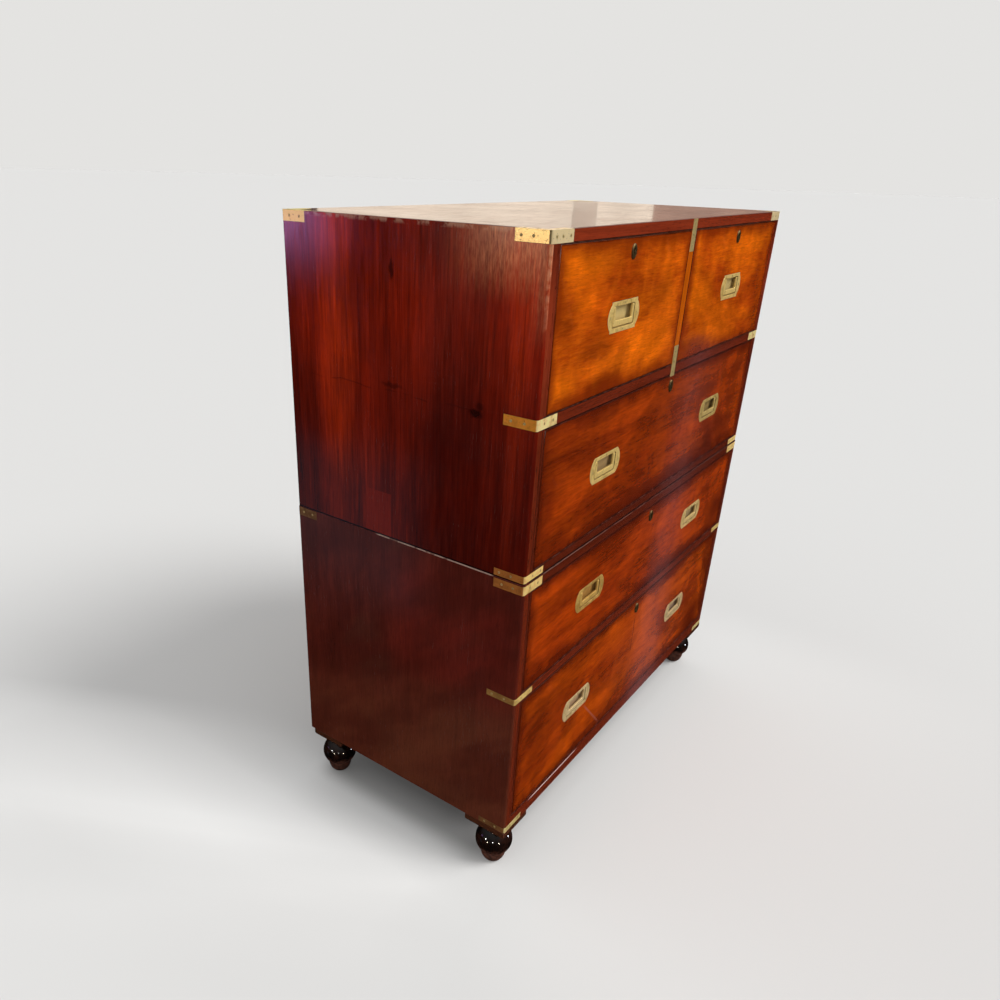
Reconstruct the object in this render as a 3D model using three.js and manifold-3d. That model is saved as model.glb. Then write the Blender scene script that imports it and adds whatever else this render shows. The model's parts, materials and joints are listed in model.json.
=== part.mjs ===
// Two-part campaign chest: an upper and a lower case that stand on dowels, two short and three
// long drawers with recessed brass handles and locks, brass corner straps let in flush, and four
// turned feet that screw into blocks. Millimetres, +Z up, the front faces -Y, and the origin is
// on the floor under the middle of the lower case.
import * as THREE from "three";
import { mergeVertices } from "three/addons/utils/BufferGeometryUtils.js";
import Module from "manifold-3d";

const wasm = await Module();
wasm.setup();

// The two cases
const caseWidth = 980;
const caseDepth = 500;
const caseStep = 1; // how far the lower case stands proud of the upper, at each end and in front
const sideThickness = 24;
const topThickness = 18;
const upperBottomThickness = 18;
const lowerTopThickness = 19;
const lowerBottomThickness = 18;
const bottomRailHeight = 31;
const railThickness = 20;
const railDepth = 60;
const runnerWidth = 40;
const dustBoardThickness = 8;
const dividerThickness = 20;
const housingDepth = 7; // how far rails and boards are let into the sides
const cornerRadius = 5;
const rearCornerRadius = 2;
const mitreGap = 0.2;

// Back boards, framed round sunk panels
const backThickness = 10;
const backRebateWidth = 10;
const backStileWidth = 70;
const backPanelSink = 4;

// Heights of the four rows of drawer openings
const topRowHeight = 230;
const secondRowHeight = 228;
const thirdRowHeight = 195;
const bottomRowHeight = 256;

// Locating dowels between the cases
const dowelRadius = 8;
const dowelHeight = 12;
const dowelTaper = 1.5;
const dowelInset = 70;
const dowelClearance = 0.4;

// Feet and the blocks that they screw into
const footHeight = 97;
const footBulbRadius = 36;
const footBulbLevel = 50; // height of the bulb's widest ring
const footWaistRadius = 26;
const footToeRadius = 23;
const footToeBelly = 12; // height at which the toe starts to round under
const footPadRadius = 13;
const footPadRounding = 4;
const footNeckRadius = 19;
const footNeckHeight = 7;
const footCollarRadius = 28;
const footCollarHeight = 9;
const footCollarRounding = 2;
const footPegRadius = 12.5;
const footPegLength = 30;
const footSeatGap = 0.2;
const footPegClearance = 0.4;
const footBlockWidth = 80;
const footBlockLength = 88; // from front to back
const footBlockHeight = 18;
const footBlockRounding = 9;
const footBlockRearInset = 10; // how far the rear blocks stop short of the back

// Drawers
const drawerGap = 1; // round the front, and at each side of the box
const drawerRunGap = 0.3; // between the box and what it slides on
const drawerFrontThickness = 20;
const drawerSideThickness = 10;
const drawerSideDrop = 12; // how far the sides stop below the top of the opening
const drawerBackDrop = 20;
const drawerBottomThickness = 7;
const drawerBottomLift = 8;
const drawerTongue = 6;
const drawerRearGap = 14;
const drawerJointGap = 0.2;
const dovetailLap = 14; // how far the tails reach into the front
const dovetailPitch = 48;
const dovetailRootWidth = 22;
const dovetailFlare = 3;

// Locks: a bolt in a slot in the drawer front, and the keyhole in front of it
const boltWidth = 22;
const boltThickness = 7;
const boltHeight = 27;
const boltChamfer = 1.5;
const boltSetback = 8; // from the drawer's face to the bolt
const boltTravel = 7;
const boltClearance = 0.3;
const boltSink = 0.5; // how far the bolt lies below the drawer front's top edge
const keyholeDrop = 18;
const keyholeRadius = 2.5;
const keyholeSkirtWidth = 3.2;
const keyholeSkirtLength = 9;

// Recessed handles: a plate with a pan, and a bail on pins
const plateHeight = 47;
const plateFlange = 2;
const plateProud = 0.3;
const plateGap = 0.3;
const shortPlateFlat = 90;
const shortPlateBulge = 10;
const shortPlateShoulder = 4;
const longPlateFlat = 84;
const longPlateBulge = 13;
const longPlateShoulder = 0;
const panWidth = 75;
const panHeight = 33;
const panDepth = 9.5; // from the plate's face to the pan's floor
const panFloor = 1.5;
const panWall = 1.5;
const panCorner = 4;
const bailSideGap = 2;
const bailArmWidth = 6.5;
const bailBarHeight = 9;
const bailThickness = 4.4;
const bailCorner = 3;
const bailEdge = 0.6;
const bailTopReach = 3; // from the pin's axis to the end of the arm
const bailSink = 0.4;
const bailBottomGap = 2;
const pinRadius = 1.5;
const pinDrop = 4.2; // from the pan's top wall to the pin's axis
const pinClearance = 0.35;
const pinReach = 1.2; // how far the pin stands in the pan's wall
const handleQuarterShare = 0.25; // the handles stand a quarter of the case's width from its middle

// Brass straps, let in flush round the corners
const strapLeg = 57;
const strapThickness = 1.6;
const strapGap = 0.2;
const topStrapHeight = 17;
const railStrapHeight = 16.5;
const upperJointStrapHeight = 12.5;
const upperJointStrapLift = 2;
const lowerJointStrapHeight = 16;
const lowerJointStrapDrop = 2.5;
const slimStrapHeight = 12;
const bottomStrapLift = 1;

// How finely round work is faceted, and how far a cut runs past what it cuts
const cutOverrun = 2;
const cornerSegments = 3;
const plateSegments = 4;
const bailSegments = 2;
const footSegments = 16;
const footArcSteps = 5;
const dowelSegments = 8;
const pinSegments = 6;

// Levels from the floor up
const lowerBottomLevel = footHeight + footBlockHeight;
const bottomRowFloor = lowerBottomLevel + bottomRailHeight;
const lowerRailLevel = bottomRowFloor + bottomRowHeight;
const thirdRowFloor = lowerRailLevel + railThickness;
const lowerTopLevel = thirdRowFloor + thirdRowHeight;
const jointLevel = lowerTopLevel + lowerTopThickness;
const secondRowFloor = jointLevel + upperBottomThickness;
const upperRailLevel = secondRowFloor + secondRowHeight;
const topRowFloor = upperRailLevel + railThickness;
const topBoardLevel = topRowFloor + topRowHeight;
const topLevel = topBoardLevel + topThickness;

// The outer faces of each case. The right face mirrors the left one.
const lowerCase = {
  left: -caseWidth / 2,
  front: -caseDepth / 2,
  back: caseDepth / 2,
  bottom: lowerBottomLevel,
  top: jointLevel,
};
const upperCase = {
  left: -caseWidth / 2 + caseStep,
  front: -caseDepth / 2 + caseStep,
  back: caseDepth / 2,
  bottom: jointLevel,
  top: topLevel,
};

const mahogany = new THREE.MeshStandardMaterial({ color: 0x5c2115, roughness: 0.35, metalness: 0 });
const drawerMahogany = new THREE.MeshStandardMaterial({ color: 0xa8521c, roughness: 0.35, metalness: 0 });
const lining = new THREE.MeshStandardMaterial({ color: 0xa9845a, roughness: 0.7, metalness: 0 });
const brass = new THREE.MeshStandardMaterial({ color: 0xb39a4e, roughness: 0.35, metalness: 1 });
const ebonised = new THREE.MeshStandardMaterial({ color: 0x15100e, roughness: 0.25, metalness: 0 });

// Solids: a box between two corners, and a shape drawn across an axis and extruded along it
function box(x0, x1, y0, y1, z0, z1) {
  const place = new THREE.Matrix4().makeScale(x1 - x0, y1 - y0, z1 - z0).setPosition(x0, y0, z0);
  return new THREE.BoxGeometry(1, 1, 1).translate(0.5, 0.5, 0.5).applyMatrix4(place);
}

function unitPrism(shape, curveSegments = cornerSegments) {
  return new THREE.ExtrudeGeometry(shape, { depth: 1, bevelEnabled: false, curveSegments });
}

function prismX(shapeYZ, x0, x1) {
  const place = new THREE.Matrix4().makeBasis(
    new THREE.Vector3(0, 1, 0),
    new THREE.Vector3(0, 0, 1),
    new THREE.Vector3(x1 - x0, 0, 0),
  );
  return unitPrism(shapeYZ).applyMatrix4(place.setPosition(x0, 0, 0));
}

function prismY(shapeXZ, y0, y1, curveSegments) {
  const place = new THREE.Matrix4().makeBasis(
    new THREE.Vector3(1, 0, 0),
    new THREE.Vector3(0, 0, 1),
    new THREE.Vector3(0, y0 - y1, 0),
  );
  return unitPrism(shapeXZ, curveSegments).applyMatrix4(place.setPosition(0, y1, 0));
}

function prismZ(shapeXY, z0, z1) {
  const place = new THREE.Matrix4().makeScale(1, 1, z1 - z0).setPosition(0, 0, z0);
  return unitPrism(shapeXY).applyMatrix4(place);
}

function outline(points) {
  return new THREE.Shape(points.map(([u, v]) => new THREE.Vector2(u, v)));
}

// Joins and cuts
function toSolid(geometry) {
  const bare = new THREE.BufferGeometry().setAttribute("position", geometry.getAttribute("position"));
  bare.setIndex(geometry.index);
  const merged = mergeVertices(bare);
  const vertProperties = merged.getAttribute("position").array;
  const triVerts = new Uint32Array(merged.index.array);
  return new wasm.Manifold(new wasm.Mesh({ numProp: 3, vertProperties, triVerts }));
}

function toGeometry(solid) {
  const mesh = solid.getMesh();
  const positions = new THREE.BufferAttribute(mesh.vertProperties, mesh.numProp);
  const geometry = new THREE.BufferGeometry().setAttribute("position", positions);
  geometry.setIndex(new THREE.BufferAttribute(mesh.triVerts, 1));
  geometry.computeVertexNormals();
  return geometry;
}

function fuse(...geometries) {
  return toGeometry(geometries.map(toSolid).reduce((whole, piece) => whole.add(piece)));
}

function carve(geometry, cuts) {
  return toGeometry(cuts.map(toSolid).reduce((whole, cut) => whole.subtract(cut), toSolid(geometry)));
}

function common(first, second) {
  return toGeometry(toSolid(first).intersect(toSolid(second)));
}

function mirrored(geometry) {
  const copy = toGeometry(toSolid(geometry)).scale(-1, 1, 1);
  const index = copy.index.array;
  for (let i = 0; i < index.length; i += 3) {
    [index[i], index[i + 1]] = [index[i + 1], index[i]];
  }
  return copy;
}

function bothEnds(geometry) {
  return [geometry, mirrored(geometry)];
}

function mesh(name, geometry, material) {
  const made = new THREE.Mesh(geometry, material);
  made.name = name;
  return made;
}

function mirroredPair(name, geometry, material) {
  const right = mesh(`${name}_right`, geometry, material);
  right.scale.x = -1;
  return [mesh(`${name}_left`, geometry, material), right];
}

// Brass straps. Each wraps the left front corner of a case, and the right one mirrors it.
function strapBand(frame) {
  const { left, front } = frame;
  const band = new THREE.Shape();
  band.moveTo(left + strapLeg, front);
  band.lineTo(left + cornerRadius, front);
  band.absarc(left + cornerRadius, front + cornerRadius, cornerRadius, 1.5 * Math.PI, Math.PI, true);
  band.lineTo(left, front + strapLeg);
  band.lineTo(left + strapThickness, front + strapLeg);
  band.lineTo(left + strapThickness, front + cornerRadius);
  band.absarc(
    left + cornerRadius,
    front + cornerRadius,
    cornerRadius - strapThickness,
    Math.PI,
    1.5 * Math.PI,
    false,
  );
  band.lineTo(left + strapLeg, front + strapThickness);
  band.closePath();
  return band;
}

function strapBedPlan(frame) {
  const { left, front } = frame;
  const depth = strapThickness + strapGap;
  const reach = strapLeg + strapGap;
  const bed = new THREE.Shape();
  bed.moveTo(left + reach, front - cutOverrun);
  bed.lineTo(left + reach, front + depth);
  bed.lineTo(left + cornerRadius, front + depth);
  bed.absarc(left + cornerRadius, front + cornerRadius, cornerRadius - depth, 1.5 * Math.PI, Math.PI, true);
  bed.lineTo(left + depth, front + reach);
  bed.lineTo(left - cutOverrun, front + reach);
  bed.lineTo(left - cutOverrun, front - cutOverrun);
  bed.closePath();
  return bed;
}

function strap(frame, z0, z1) {
  return prismZ(strapBand(frame), z0, z1);
}

function strapBed(frame, z0, z1) {
  return prismZ(strapBedPlan(frame), z0 - strapGap, z1 + strapGap);
}

// The top corner straps also turn over on to the top, with a flat leg each way.
function topPlatePlan(frame, grow) {
  const { left, front } = frame;
  const reach = strapLeg + grow;
  const width = topStrapHeight + grow;
  const plate = new THREE.Shape();
  plate.moveTo(left + reach, front);
  plate.lineTo(left + cornerRadius, front);
  plate.absarc(left + cornerRadius, front + cornerRadius, cornerRadius, 1.5 * Math.PI, Math.PI, true);
  plate.lineTo(left, front + reach);
  plate.lineTo(left + width, front + reach);
  plate.lineTo(left + width, front + width);
  plate.lineTo(left + reach, front + width);
  plate.closePath();
  return plate;
}

// The bottom and top of each strap
function levelsUp(bottom, height) {
  return [bottom, bottom + height];
}

const strapLevels = {
  top: [topLevel - topStrapHeight, topLevel],
  rail: levelsUp(upperRailLevel + (railThickness - railStrapHeight) / 2, railStrapHeight),
  upperJoint: levelsUp(jointLevel + upperJointStrapLift, upperJointStrapHeight),
  lowerJoint: levelsUp(jointLevel - lowerJointStrapDrop - lowerJointStrapHeight, lowerJointStrapHeight),
  middle: levelsUp(lowerRailLevel + (railThickness - slimStrapHeight) / 2, slimStrapHeight),
  bottom: levelsUp(lowerBottomLevel + bottomStrapLift, slimStrapHeight),
};
const topPlateBottom = topLevel - strapThickness;

function topStrap() {
  return fuse(
    strap(upperCase, ...strapLevels.top),
    prismZ(topPlatePlan(upperCase, 0), topPlateBottom, topLevel),
  );
}

function topStrapBeds() {
  return [
    strapBed(upperCase, ...strapLevels.top),
    prismZ(topPlatePlan(upperCase, strapGap), topPlateBottom - strapGap, topLevel + cutOverrun),
  ];
}

// Case sides: the plan has a worn round at the front corner and a rebate for the back.
function sidePlan(frame) {
  const { left, front, back } = frame;
  const inner = left + sideThickness;
  const plan = new THREE.Shape();
  plan.moveTo(inner, front);
  plan.lineTo(left + cornerRadius, front);
  plan.absarc(left + cornerRadius, front + cornerRadius, cornerRadius, 1.5 * Math.PI, Math.PI, true);
  plan.lineTo(left, back - rearCornerRadius);
  plan.absarc(
    left + rearCornerRadius,
    back - rearCornerRadius,
    rearCornerRadius,
    Math.PI,
    0.5 * Math.PI,
    true,
  );
  plan.lineTo(inner - backRebateWidth, back);
  plan.lineTo(inner - backRebateWidth, back - backThickness);
  plan.lineTo(inner, back - backThickness);
  plan.closePath();
  return plan;
}

function housing(frame, z0, z1) {
  const inner = frame.left + sideThickness;
  return box(
    inner - housingDepth,
    inner + cutOverrun,
    frame.front - cutOverrun,
    frame.back - backThickness,
    z0,
    z1,
  );
}

function upperSide() {
  const { left, front, back, bottom, top } = upperCase;
  const inner = left + sideThickness;
  const aboveMitre = outline([
    [left, top],
    [inner, topBoardLevel],
    [inner + cutOverrun, topBoardLevel],
    [inner + cutOverrun, top + cutOverrun],
    [left, top + cutOverrun],
  ]);
  return carve(prismZ(sidePlan(upperCase), bottom, top), [
    prismY(aboveMitre, front - cutOverrun, back + cutOverrun),
    housing(upperCase, bottom - cutOverrun, secondRowFloor),
    housing(upperCase, upperRailLevel, topRowFloor),
    ...topStrapBeds(),
    strapBed(upperCase, ...strapLevels.rail),
    strapBed(upperCase, ...strapLevels.upperJoint),
  ]);
}

function lowerSide() {
  const { bottom, top } = lowerCase;
  return carve(prismZ(sidePlan(lowerCase), bottom, top), [
    housing(lowerCase, bottom - cutOverrun, bottomRowFloor),
    housing(lowerCase, lowerRailLevel, thirdRowFloor),
    housing(lowerCase, lowerTopLevel, top + cutOverrun),
    strapBed(lowerCase, ...strapLevels.lowerJoint),
    strapBed(lowerCase, ...strapLevels.middle),
    strapBed(lowerCase, ...strapLevels.bottom),
  ]);
}

// The top is mitred to the sides, over hidden dovetails.
function topBoard() {
  const { left, front, back, top } = upperCase;
  const end = left + mitreGap;
  const trapezoid = outline([
    [end, top],
    [end + sideThickness, topBoardLevel],
    [-end - sideThickness, topBoardLevel],
    [-end, top],
  ]);
  const plan = new THREE.Shape();
  plan.moveTo(left, back);
  plan.lineTo(left, front + cornerRadius);
  plan.absarc(left + cornerRadius, front + cornerRadius, cornerRadius, Math.PI, 1.5 * Math.PI, false);
  plan.lineTo(-left - cornerRadius, front);
  plan.absarc(-left - cornerRadius, front + cornerRadius, cornerRadius, 1.5 * Math.PI, 2 * Math.PI, false);
  plan.lineTo(-left, back);
  plan.closePath();
  const board = common(
    prismY(trapezoid, front - cutOverrun, back),
    prismZ(plan, topBoardLevel - cutOverrun, top + cutOverrun),
  );
  return carve(board, [
    ...topStrapBeds().flatMap(bothEnds),
    ...bothEnds(boltMortice(shortDrawerMiddle, upperCase, topBoardLevel)),
  ]);
}

// A board or rail between the sides, let into both
function boardBetween(frame, y0, y1, z0, z1) {
  const end = frame.left + sideThickness - housingDepth;
  return box(end, -end, y0, y1, z0, z1);
}

// The slot that a raised bolt enters, in the underside of the board over its drawer
function boltMortice(x, frame, underside) {
  const halfWidth = boltWidth / 2 + boltClearance;
  const y0 = frame.front + boltSetback - boltClearance;
  const y1 = frame.front + boltSetback + boltThickness + boltClearance;
  return box(x - halfWidth, x + halfWidth, y0, y1, underside - cutOverrun, underside + boltTravel);
}

// A rail with its runners and the dust board between them
function rail(frame, z0, withMiddleRunner) {
  const z1 = z0 + railThickness;
  const railBack = frame.front + railDepth;
  const rear = frame.back - backThickness;
  const end = frame.left + sideThickness - housingDepth;
  const runnerEnd = frame.left + sideThickness + runnerWidth;
  const dustLevel = z1 - dustBoardThickness;
  const pieces = [
    boardBetween(frame, frame.front, railBack, z0, z1),
    boardBetween(frame, railBack, rear, dustLevel, z1),
    ...bothEnds(box(end, runnerEnd, railBack, rear, z0, z1)),
  ];
  if (withMiddleRunner) {
    const halfWidth = dividerThickness / 2 + runnerWidth;
    pieces.push(box(-halfWidth, halfWidth, railBack, rear, z0, z1));
  }
  return fuse(...pieces);
}

function upperRail() {
  return carve(rail(upperCase, upperRailLevel, true), [
    ...bothEnds(strapBed(upperCase, ...strapLevels.rail)),
    boltMortice(0, upperCase, upperRailLevel),
  ]);
}

function lowerRail() {
  return carve(rail(lowerCase, lowerRailLevel, false), [
    ...bothEnds(strapBed(lowerCase, ...strapLevels.middle)),
    boltMortice(0, lowerCase, lowerRailLevel),
  ]);
}

function divider() {
  const halfWidth = dividerThickness / 2;
  const rear = upperCase.back - backThickness;
  return box(-halfWidth, halfWidth, upperCase.front, rear, topRowFloor, topBoardLevel);
}

// Dowels stand in the lower case's top, one near each corner, and enter blind holes above.
function turned(profile, segments) {
  return new THREE.LatheGeometry(
    profile.map(([radius, z]) => new THREE.Vector2(radius, z)),
    segments,
  ).applyMatrix4(
    new THREE.Matrix4().makeBasis(
      new THREE.Vector3(1, 0, 0),
      new THREE.Vector3(0, 0, 1),
      new THREE.Vector3(0, -1, 0),
    ),
  );
}

function atCorners(geometry, x, y) {
  return [-1, 1].flatMap((sx) => [-1, 1].map((sy) => geometry.clone().translate(sx * x, sy * y, 0)));
}

const dowelX = caseWidth / 2 - dowelInset;
const dowelY = caseDepth / 2 - dowelInset;

function dowels() {
  const root = jointLevel - lowerTopThickness / 2;
  const tip = jointLevel + dowelHeight;
  const profile = [
    [0, root],
    [dowelRadius, root],
    [dowelRadius, tip - dowelTaper],
    [dowelRadius - dowelTaper, tip],
    [0, tip],
  ];
  return atCorners(turned(profile, dowelSegments), dowelX, dowelY);
}

function dowelHoles() {
  const radius = dowelRadius + dowelClearance;
  const end = jointLevel + dowelHeight + dowelClearance;
  const profile = [
    [0, jointLevel - cutOverrun],
    [radius, jointLevel - cutOverrun],
    [radius, end],
    [0, end],
  ];
  return atCorners(turned(profile, dowelSegments), dowelX, dowelY);
}

function upperBottomBoard() {
  const { front, back } = upperCase;
  const board = boardBetween(upperCase, front, back - backThickness, jointLevel, secondRowFloor);
  return carve(board, [...dowelHoles(), ...bothEnds(strapBed(upperCase, ...strapLevels.upperJoint))]);
}

function lowerTopBoard() {
  const { front, back } = lowerCase;
  const board = boardBetween(lowerCase, front, back - backThickness, lowerTopLevel, jointLevel);
  const cuts = [
    ...bothEnds(strapBed(lowerCase, ...strapLevels.lowerJoint)),
    boltMortice(0, lowerCase, lowerTopLevel),
  ];
  return carve(fuse(board, ...dowels()), cuts);
}

// The bottom of the lower case: a board, a deeper rail in front, runners, and the four foot
// blocks, whose lower edges are rounded over
const footX = caseWidth / 2 - footBlockWidth / 2;
const footY = caseDepth / 2 - footBlockLength / 2;

function blockSection(low, high) {
  const floor = footHeight;
  const round = footBlockRounding;
  const section = new THREE.Shape();
  section.moveTo(low, lowerBottomLevel);
  section.lineTo(low, floor + round);
  section.absarc(low + round, floor + round, round, Math.PI, 1.5 * Math.PI, false);
  section.lineTo(high - round, floor);
  section.absarc(high - round, floor + round, round, 1.5 * Math.PI, 2 * Math.PI, false);
  section.lineTo(high, lowerBottomLevel);
  section.closePath();
  return section;
}

function footBlock(rearInset) {
  const across = footBlockWidth / 2;
  const along = footBlockLength / 2;
  const length = prismX(blockSection(-along, along - rearInset), -across, across);
  return common(length, prismY(blockSection(-across, across), -along, along));
}

function footSocket() {
  const radius = footPegRadius + footPegClearance;
  const end = footHeight + footPegLength + footPegClearance;
  const profile = [
    [0, footHeight - cutOverrun],
    [radius, footHeight - cutOverrun],
    [radius, end],
    [0, end],
  ];
  return turned(profile, footSegments);
}

function lowerBottomBoard() {
  const { left, front, back, bottom } = lowerCase;
  const rear = back - backThickness;
  const end = left + sideThickness - housingDepth;
  const runnerEnd = left + sideThickness + runnerWidth;
  const railBack = front + railDepth;
  const whole = fuse(
    boardBetween(lowerCase, front, rear, bottom, bottom + lowerBottomThickness),
    boardBetween(lowerCase, front, railBack, bottom, bottomRowFloor),
    ...bothEnds(box(end, runnerEnd, front, rear, bottom, bottomRowFloor)),
    ...bothEnds(footBlock(0).translate(footX, -footY, 0)),
    ...bothEnds(footBlock(footBlockRearInset).translate(footX, footY, 0)),
  );
  return carve(whole, [
    ...atCorners(footSocket(), footX, footY),
    ...bothEnds(strapBed(lowerCase, ...strapLevels.bottom)),
  ]);
}

// Backs: one board each, with two sunk panels
function backBoard(frame, z0, z1) {
  const end = frame.left + sideThickness - backRebateWidth;
  const half = backStileWidth / 2;
  const panel = box(
    end + backStileWidth,
    -half,
    frame.back - backPanelSink,
    frame.back + cutOverrun,
    z0 + backStileWidth,
    z1 - backStileWidth,
  );
  return carve(box(end, -end, frame.back - backThickness, frame.back, z0, z1), bothEnds(panel));
}

// A turned foot: peg, collar, neck, bulb and toe. Its own origin is on the floor.
function foot() {
  const seat = footHeight - footSeatGap;
  const collarBottom = seat - footCollarHeight;
  const bulbReach = Math.sqrt(footBulbRadius ** 2 - footWaistRadius ** 2);
  const waistLevel = footBulbLevel - bulbReach;
  const neckLevel = collarBottom - footNeckHeight / 2;
  const topReach = Math.sqrt(footBulbRadius ** 2 - footNeckRadius ** 2);
  const profile = [
    [0, 0],
    [footPadRadius, 0],
    [footPadRadius + footPadRounding, footPadRounding / 2],
    [(footPadRadius + footPadRounding + footToeRadius) / 2, (footPadRounding + footToeBelly) / 2],
    [footToeRadius, footToeBelly],
    [footToeRadius, (footToeBelly + waistLevel) / 2],
  ];
  const fromAngle = -Math.asin(bulbReach / footBulbRadius);
  const toAngle = Math.min(
    Math.asin(topReach / footBulbRadius),
    Math.asin((neckLevel - footBulbLevel) / footBulbRadius),
  );
  for (let step = 0; step <= footArcSteps; step += 1) {
    const angle = fromAngle + ((toAngle - fromAngle) * step) / footArcSteps;
    profile.push([footBulbRadius * Math.cos(angle), footBulbLevel + footBulbRadius * Math.sin(angle)]);
  }
  profile.push(
    [footNeckRadius, neckLevel + footNeckHeight / 4],
    [footCollarRadius - footCollarRounding, collarBottom],
    [footCollarRadius, collarBottom + footCollarRounding],
    [footCollarRadius, seat - footCollarRounding],
    [footCollarRadius - footCollarRounding, seat],
    [footPegRadius, seat],
    [footPegRadius, footHeight + footPegLength],
    [0, footHeight + footPegLength],
  );
  return turned(profile, footSegments);
}

// Drawer openings, from the middle of the case outwards where the top row is divided
const upperInner = upperCase.left + sideThickness;
const lowerInner = lowerCase.left + sideThickness;
const shortDrawerMiddle = (upperInner - dividerThickness / 2) / 2;
const handleX = caseWidth * handleQuarterShare;

function drawerFrontGeometry(opening, handles) {
  const { x0, x1, z0, z1, front } = opening;
  const rear = front + drawerFrontThickness;
  const middle = (x0 + x1) / 2;
  const top = z1 - drawerGap;
  const side = x0 + drawerGap;
  const tongueLevel = z0 + drawerRunGap + drawerBottomLift;
  const lockHalf = boltWidth / 2 + boltClearance;
  const lockFront = front + boltSetback - boltClearance;
  const lockBack = front + boltSetback + boltThickness + boltClearance;
  const lockBottom = top - boltSink - boltHeight - boltClearance;
  const sockets = tailOutlines(opening, drawerJointGap).flatMap((tail) => [
    prismX(tail, side - cutOverrun, side + drawerSideThickness + drawerJointGap),
    prismX(tail, x1 - drawerGap - drawerSideThickness - drawerJointGap, x1 - drawerGap + cutOverrun),
  ]);
  return carve(box(side, x1 - drawerGap, front, rear, z0 + drawerGap, top), [
    ...sockets,
    box(
      side + drawerSideThickness - drawerJointGap,
      x1 - drawerGap - drawerSideThickness + drawerJointGap,
      rear - drawerTongue - drawerJointGap,
      rear + cutOverrun,
      tongueLevel - drawerJointGap,
      tongueLevel + drawerBottomThickness + drawerJointGap,
    ),
    box(middle - lockHalf, middle + lockHalf, lockFront, lockBack, lockBottom, top + cutOverrun),
    prismY(keyhole(middle, top - keyholeDrop), front - cutOverrun, lockBack),
    ...handles.flatMap(({ x, z, style }) => handlePocket(style, x, front, z)),
  ]);
}

function keyhole(x, z) {
  const half = keyholeSkirtWidth / 2;
  const turn = Math.asin(half / keyholeRadius);
  const hole = new THREE.Shape();
  hole.moveTo(x - half, z - keyholeSkirtLength);
  hole.lineTo(x + half, z - keyholeSkirtLength);
  hole.absarc(x, z, keyholeRadius, turn - Math.PI / 2, 1.5 * Math.PI - turn, false);
  hole.closePath();
  return hole;
}

// Dovetails, as seen from the drawer's side: each tail widens from the root towards its tip.
function tailOutlines(opening, grow) {
  const { z0, z1, front } = opening;
  const root = front + drawerFrontThickness;
  const tip = root - dovetailLap - grow;
  const low = z0 + drawerGap;
  const high = z1 - drawerSideDrop;
  const count = Math.floor((high - low) / dovetailPitch);
  const pitch = (high - low) / count;
  const halfRoot = dovetailRootWidth / 2 + grow;
  const halfTip = halfRoot + dovetailFlare;
  const behind = root + (grow > 0 ? cutOverrun : 0);
  return Array.from({ length: count }, (_, i) => {
    const z = low + pitch * (i + 0.5);
    return outline([
      [behind, z - halfRoot],
      [root, z - halfRoot],
      [tip, z - halfTip],
      [tip, z + halfTip],
      [root, z + halfRoot],
      [behind, z + halfRoot],
    ]);
  });
}

function drawerBoxGeometry(opening) {
  const { x0, x1, z0, z1, front } = opening;
  const face = front + drawerFrontThickness;
  const rear = caseDepth / 2 - backThickness - drawerRearGap;
  const left = x0 + drawerGap;
  const right = x1 - drawerGap;
  const floor = z0 + drawerRunGap;
  const high = z1 - drawerSideDrop;
  const tongueLevel = floor + drawerBottomLift;
  const tails = tailOutlines(opening, 0);
  const side = (start) => [
    box(start, start + drawerSideThickness, face, rear, floor, high),
    ...tails.map((tail) => prismX(tail, start, start + drawerSideThickness)),
  ];
  return fuse(
    ...side(left),
    ...side(right - drawerSideThickness),
    box(left, right, rear - drawerSideThickness, rear, tongueLevel, z1 - drawerBackDrop),
    box(
      left + drawerSideThickness,
      right - drawerSideThickness,
      face - drawerTongue,
      rear,
      tongueLevel,
      tongueLevel + drawerBottomThickness,
    ),
  );
}

function lockBolt(opening) {
  const { x0, x1, z1, front } = opening;
  const middle = (x0 + x1) / 2;
  const half = boltWidth / 2;
  const top = z1 - drawerGap - boltSink;
  const section = outline([
    [middle - half, top - boltHeight],
    [middle + half, top - boltHeight],
    [middle + half, top - boltChamfer],
    [middle + half - boltChamfer, top],
    [middle - half + boltChamfer, top],
    [middle - half, top - boltChamfer],
  ]);
  return prismY(section, front + boltSetback, front + boltSetback + boltThickness);
}

// Handle plates. The short drawers' plates have shouldered corners, the long ones' ends are round.
const plateStyles = {
  short: { flat: shortPlateFlat, bulge: shortPlateBulge, shoulder: shortPlateShoulder },
  long: { flat: longPlateFlat, bulge: longPlateBulge, shoulder: longPlateShoulder },
};

function plateOutline(style, grow) {
  const { flat, bulge, shoulder } = plateStyles[style];
  const halfFlat = flat / 2 + grow;
  const halfHeight = plateHeight / 2 + grow;
  const chord = halfHeight - shoulder;
  const radius = (chord ** 2 + bulge ** 2) / (2 * bulge);
  const centre = halfFlat + bulge - radius;
  const turn = Math.asin(chord / radius);
  const plate = new THREE.Shape();
  plate.moveTo(-halfFlat, -halfHeight);
  plate.lineTo(halfFlat, -halfHeight);
  plate.absarc(centre, 0, radius, -turn, turn, false);
  plate.lineTo(halfFlat, halfHeight);
  plate.lineTo(-halfFlat, halfHeight);
  plate.absarc(-centre, 0, radius, Math.PI - turn, Math.PI + turn, false);
  plate.closePath();
  return plate;
}

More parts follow.
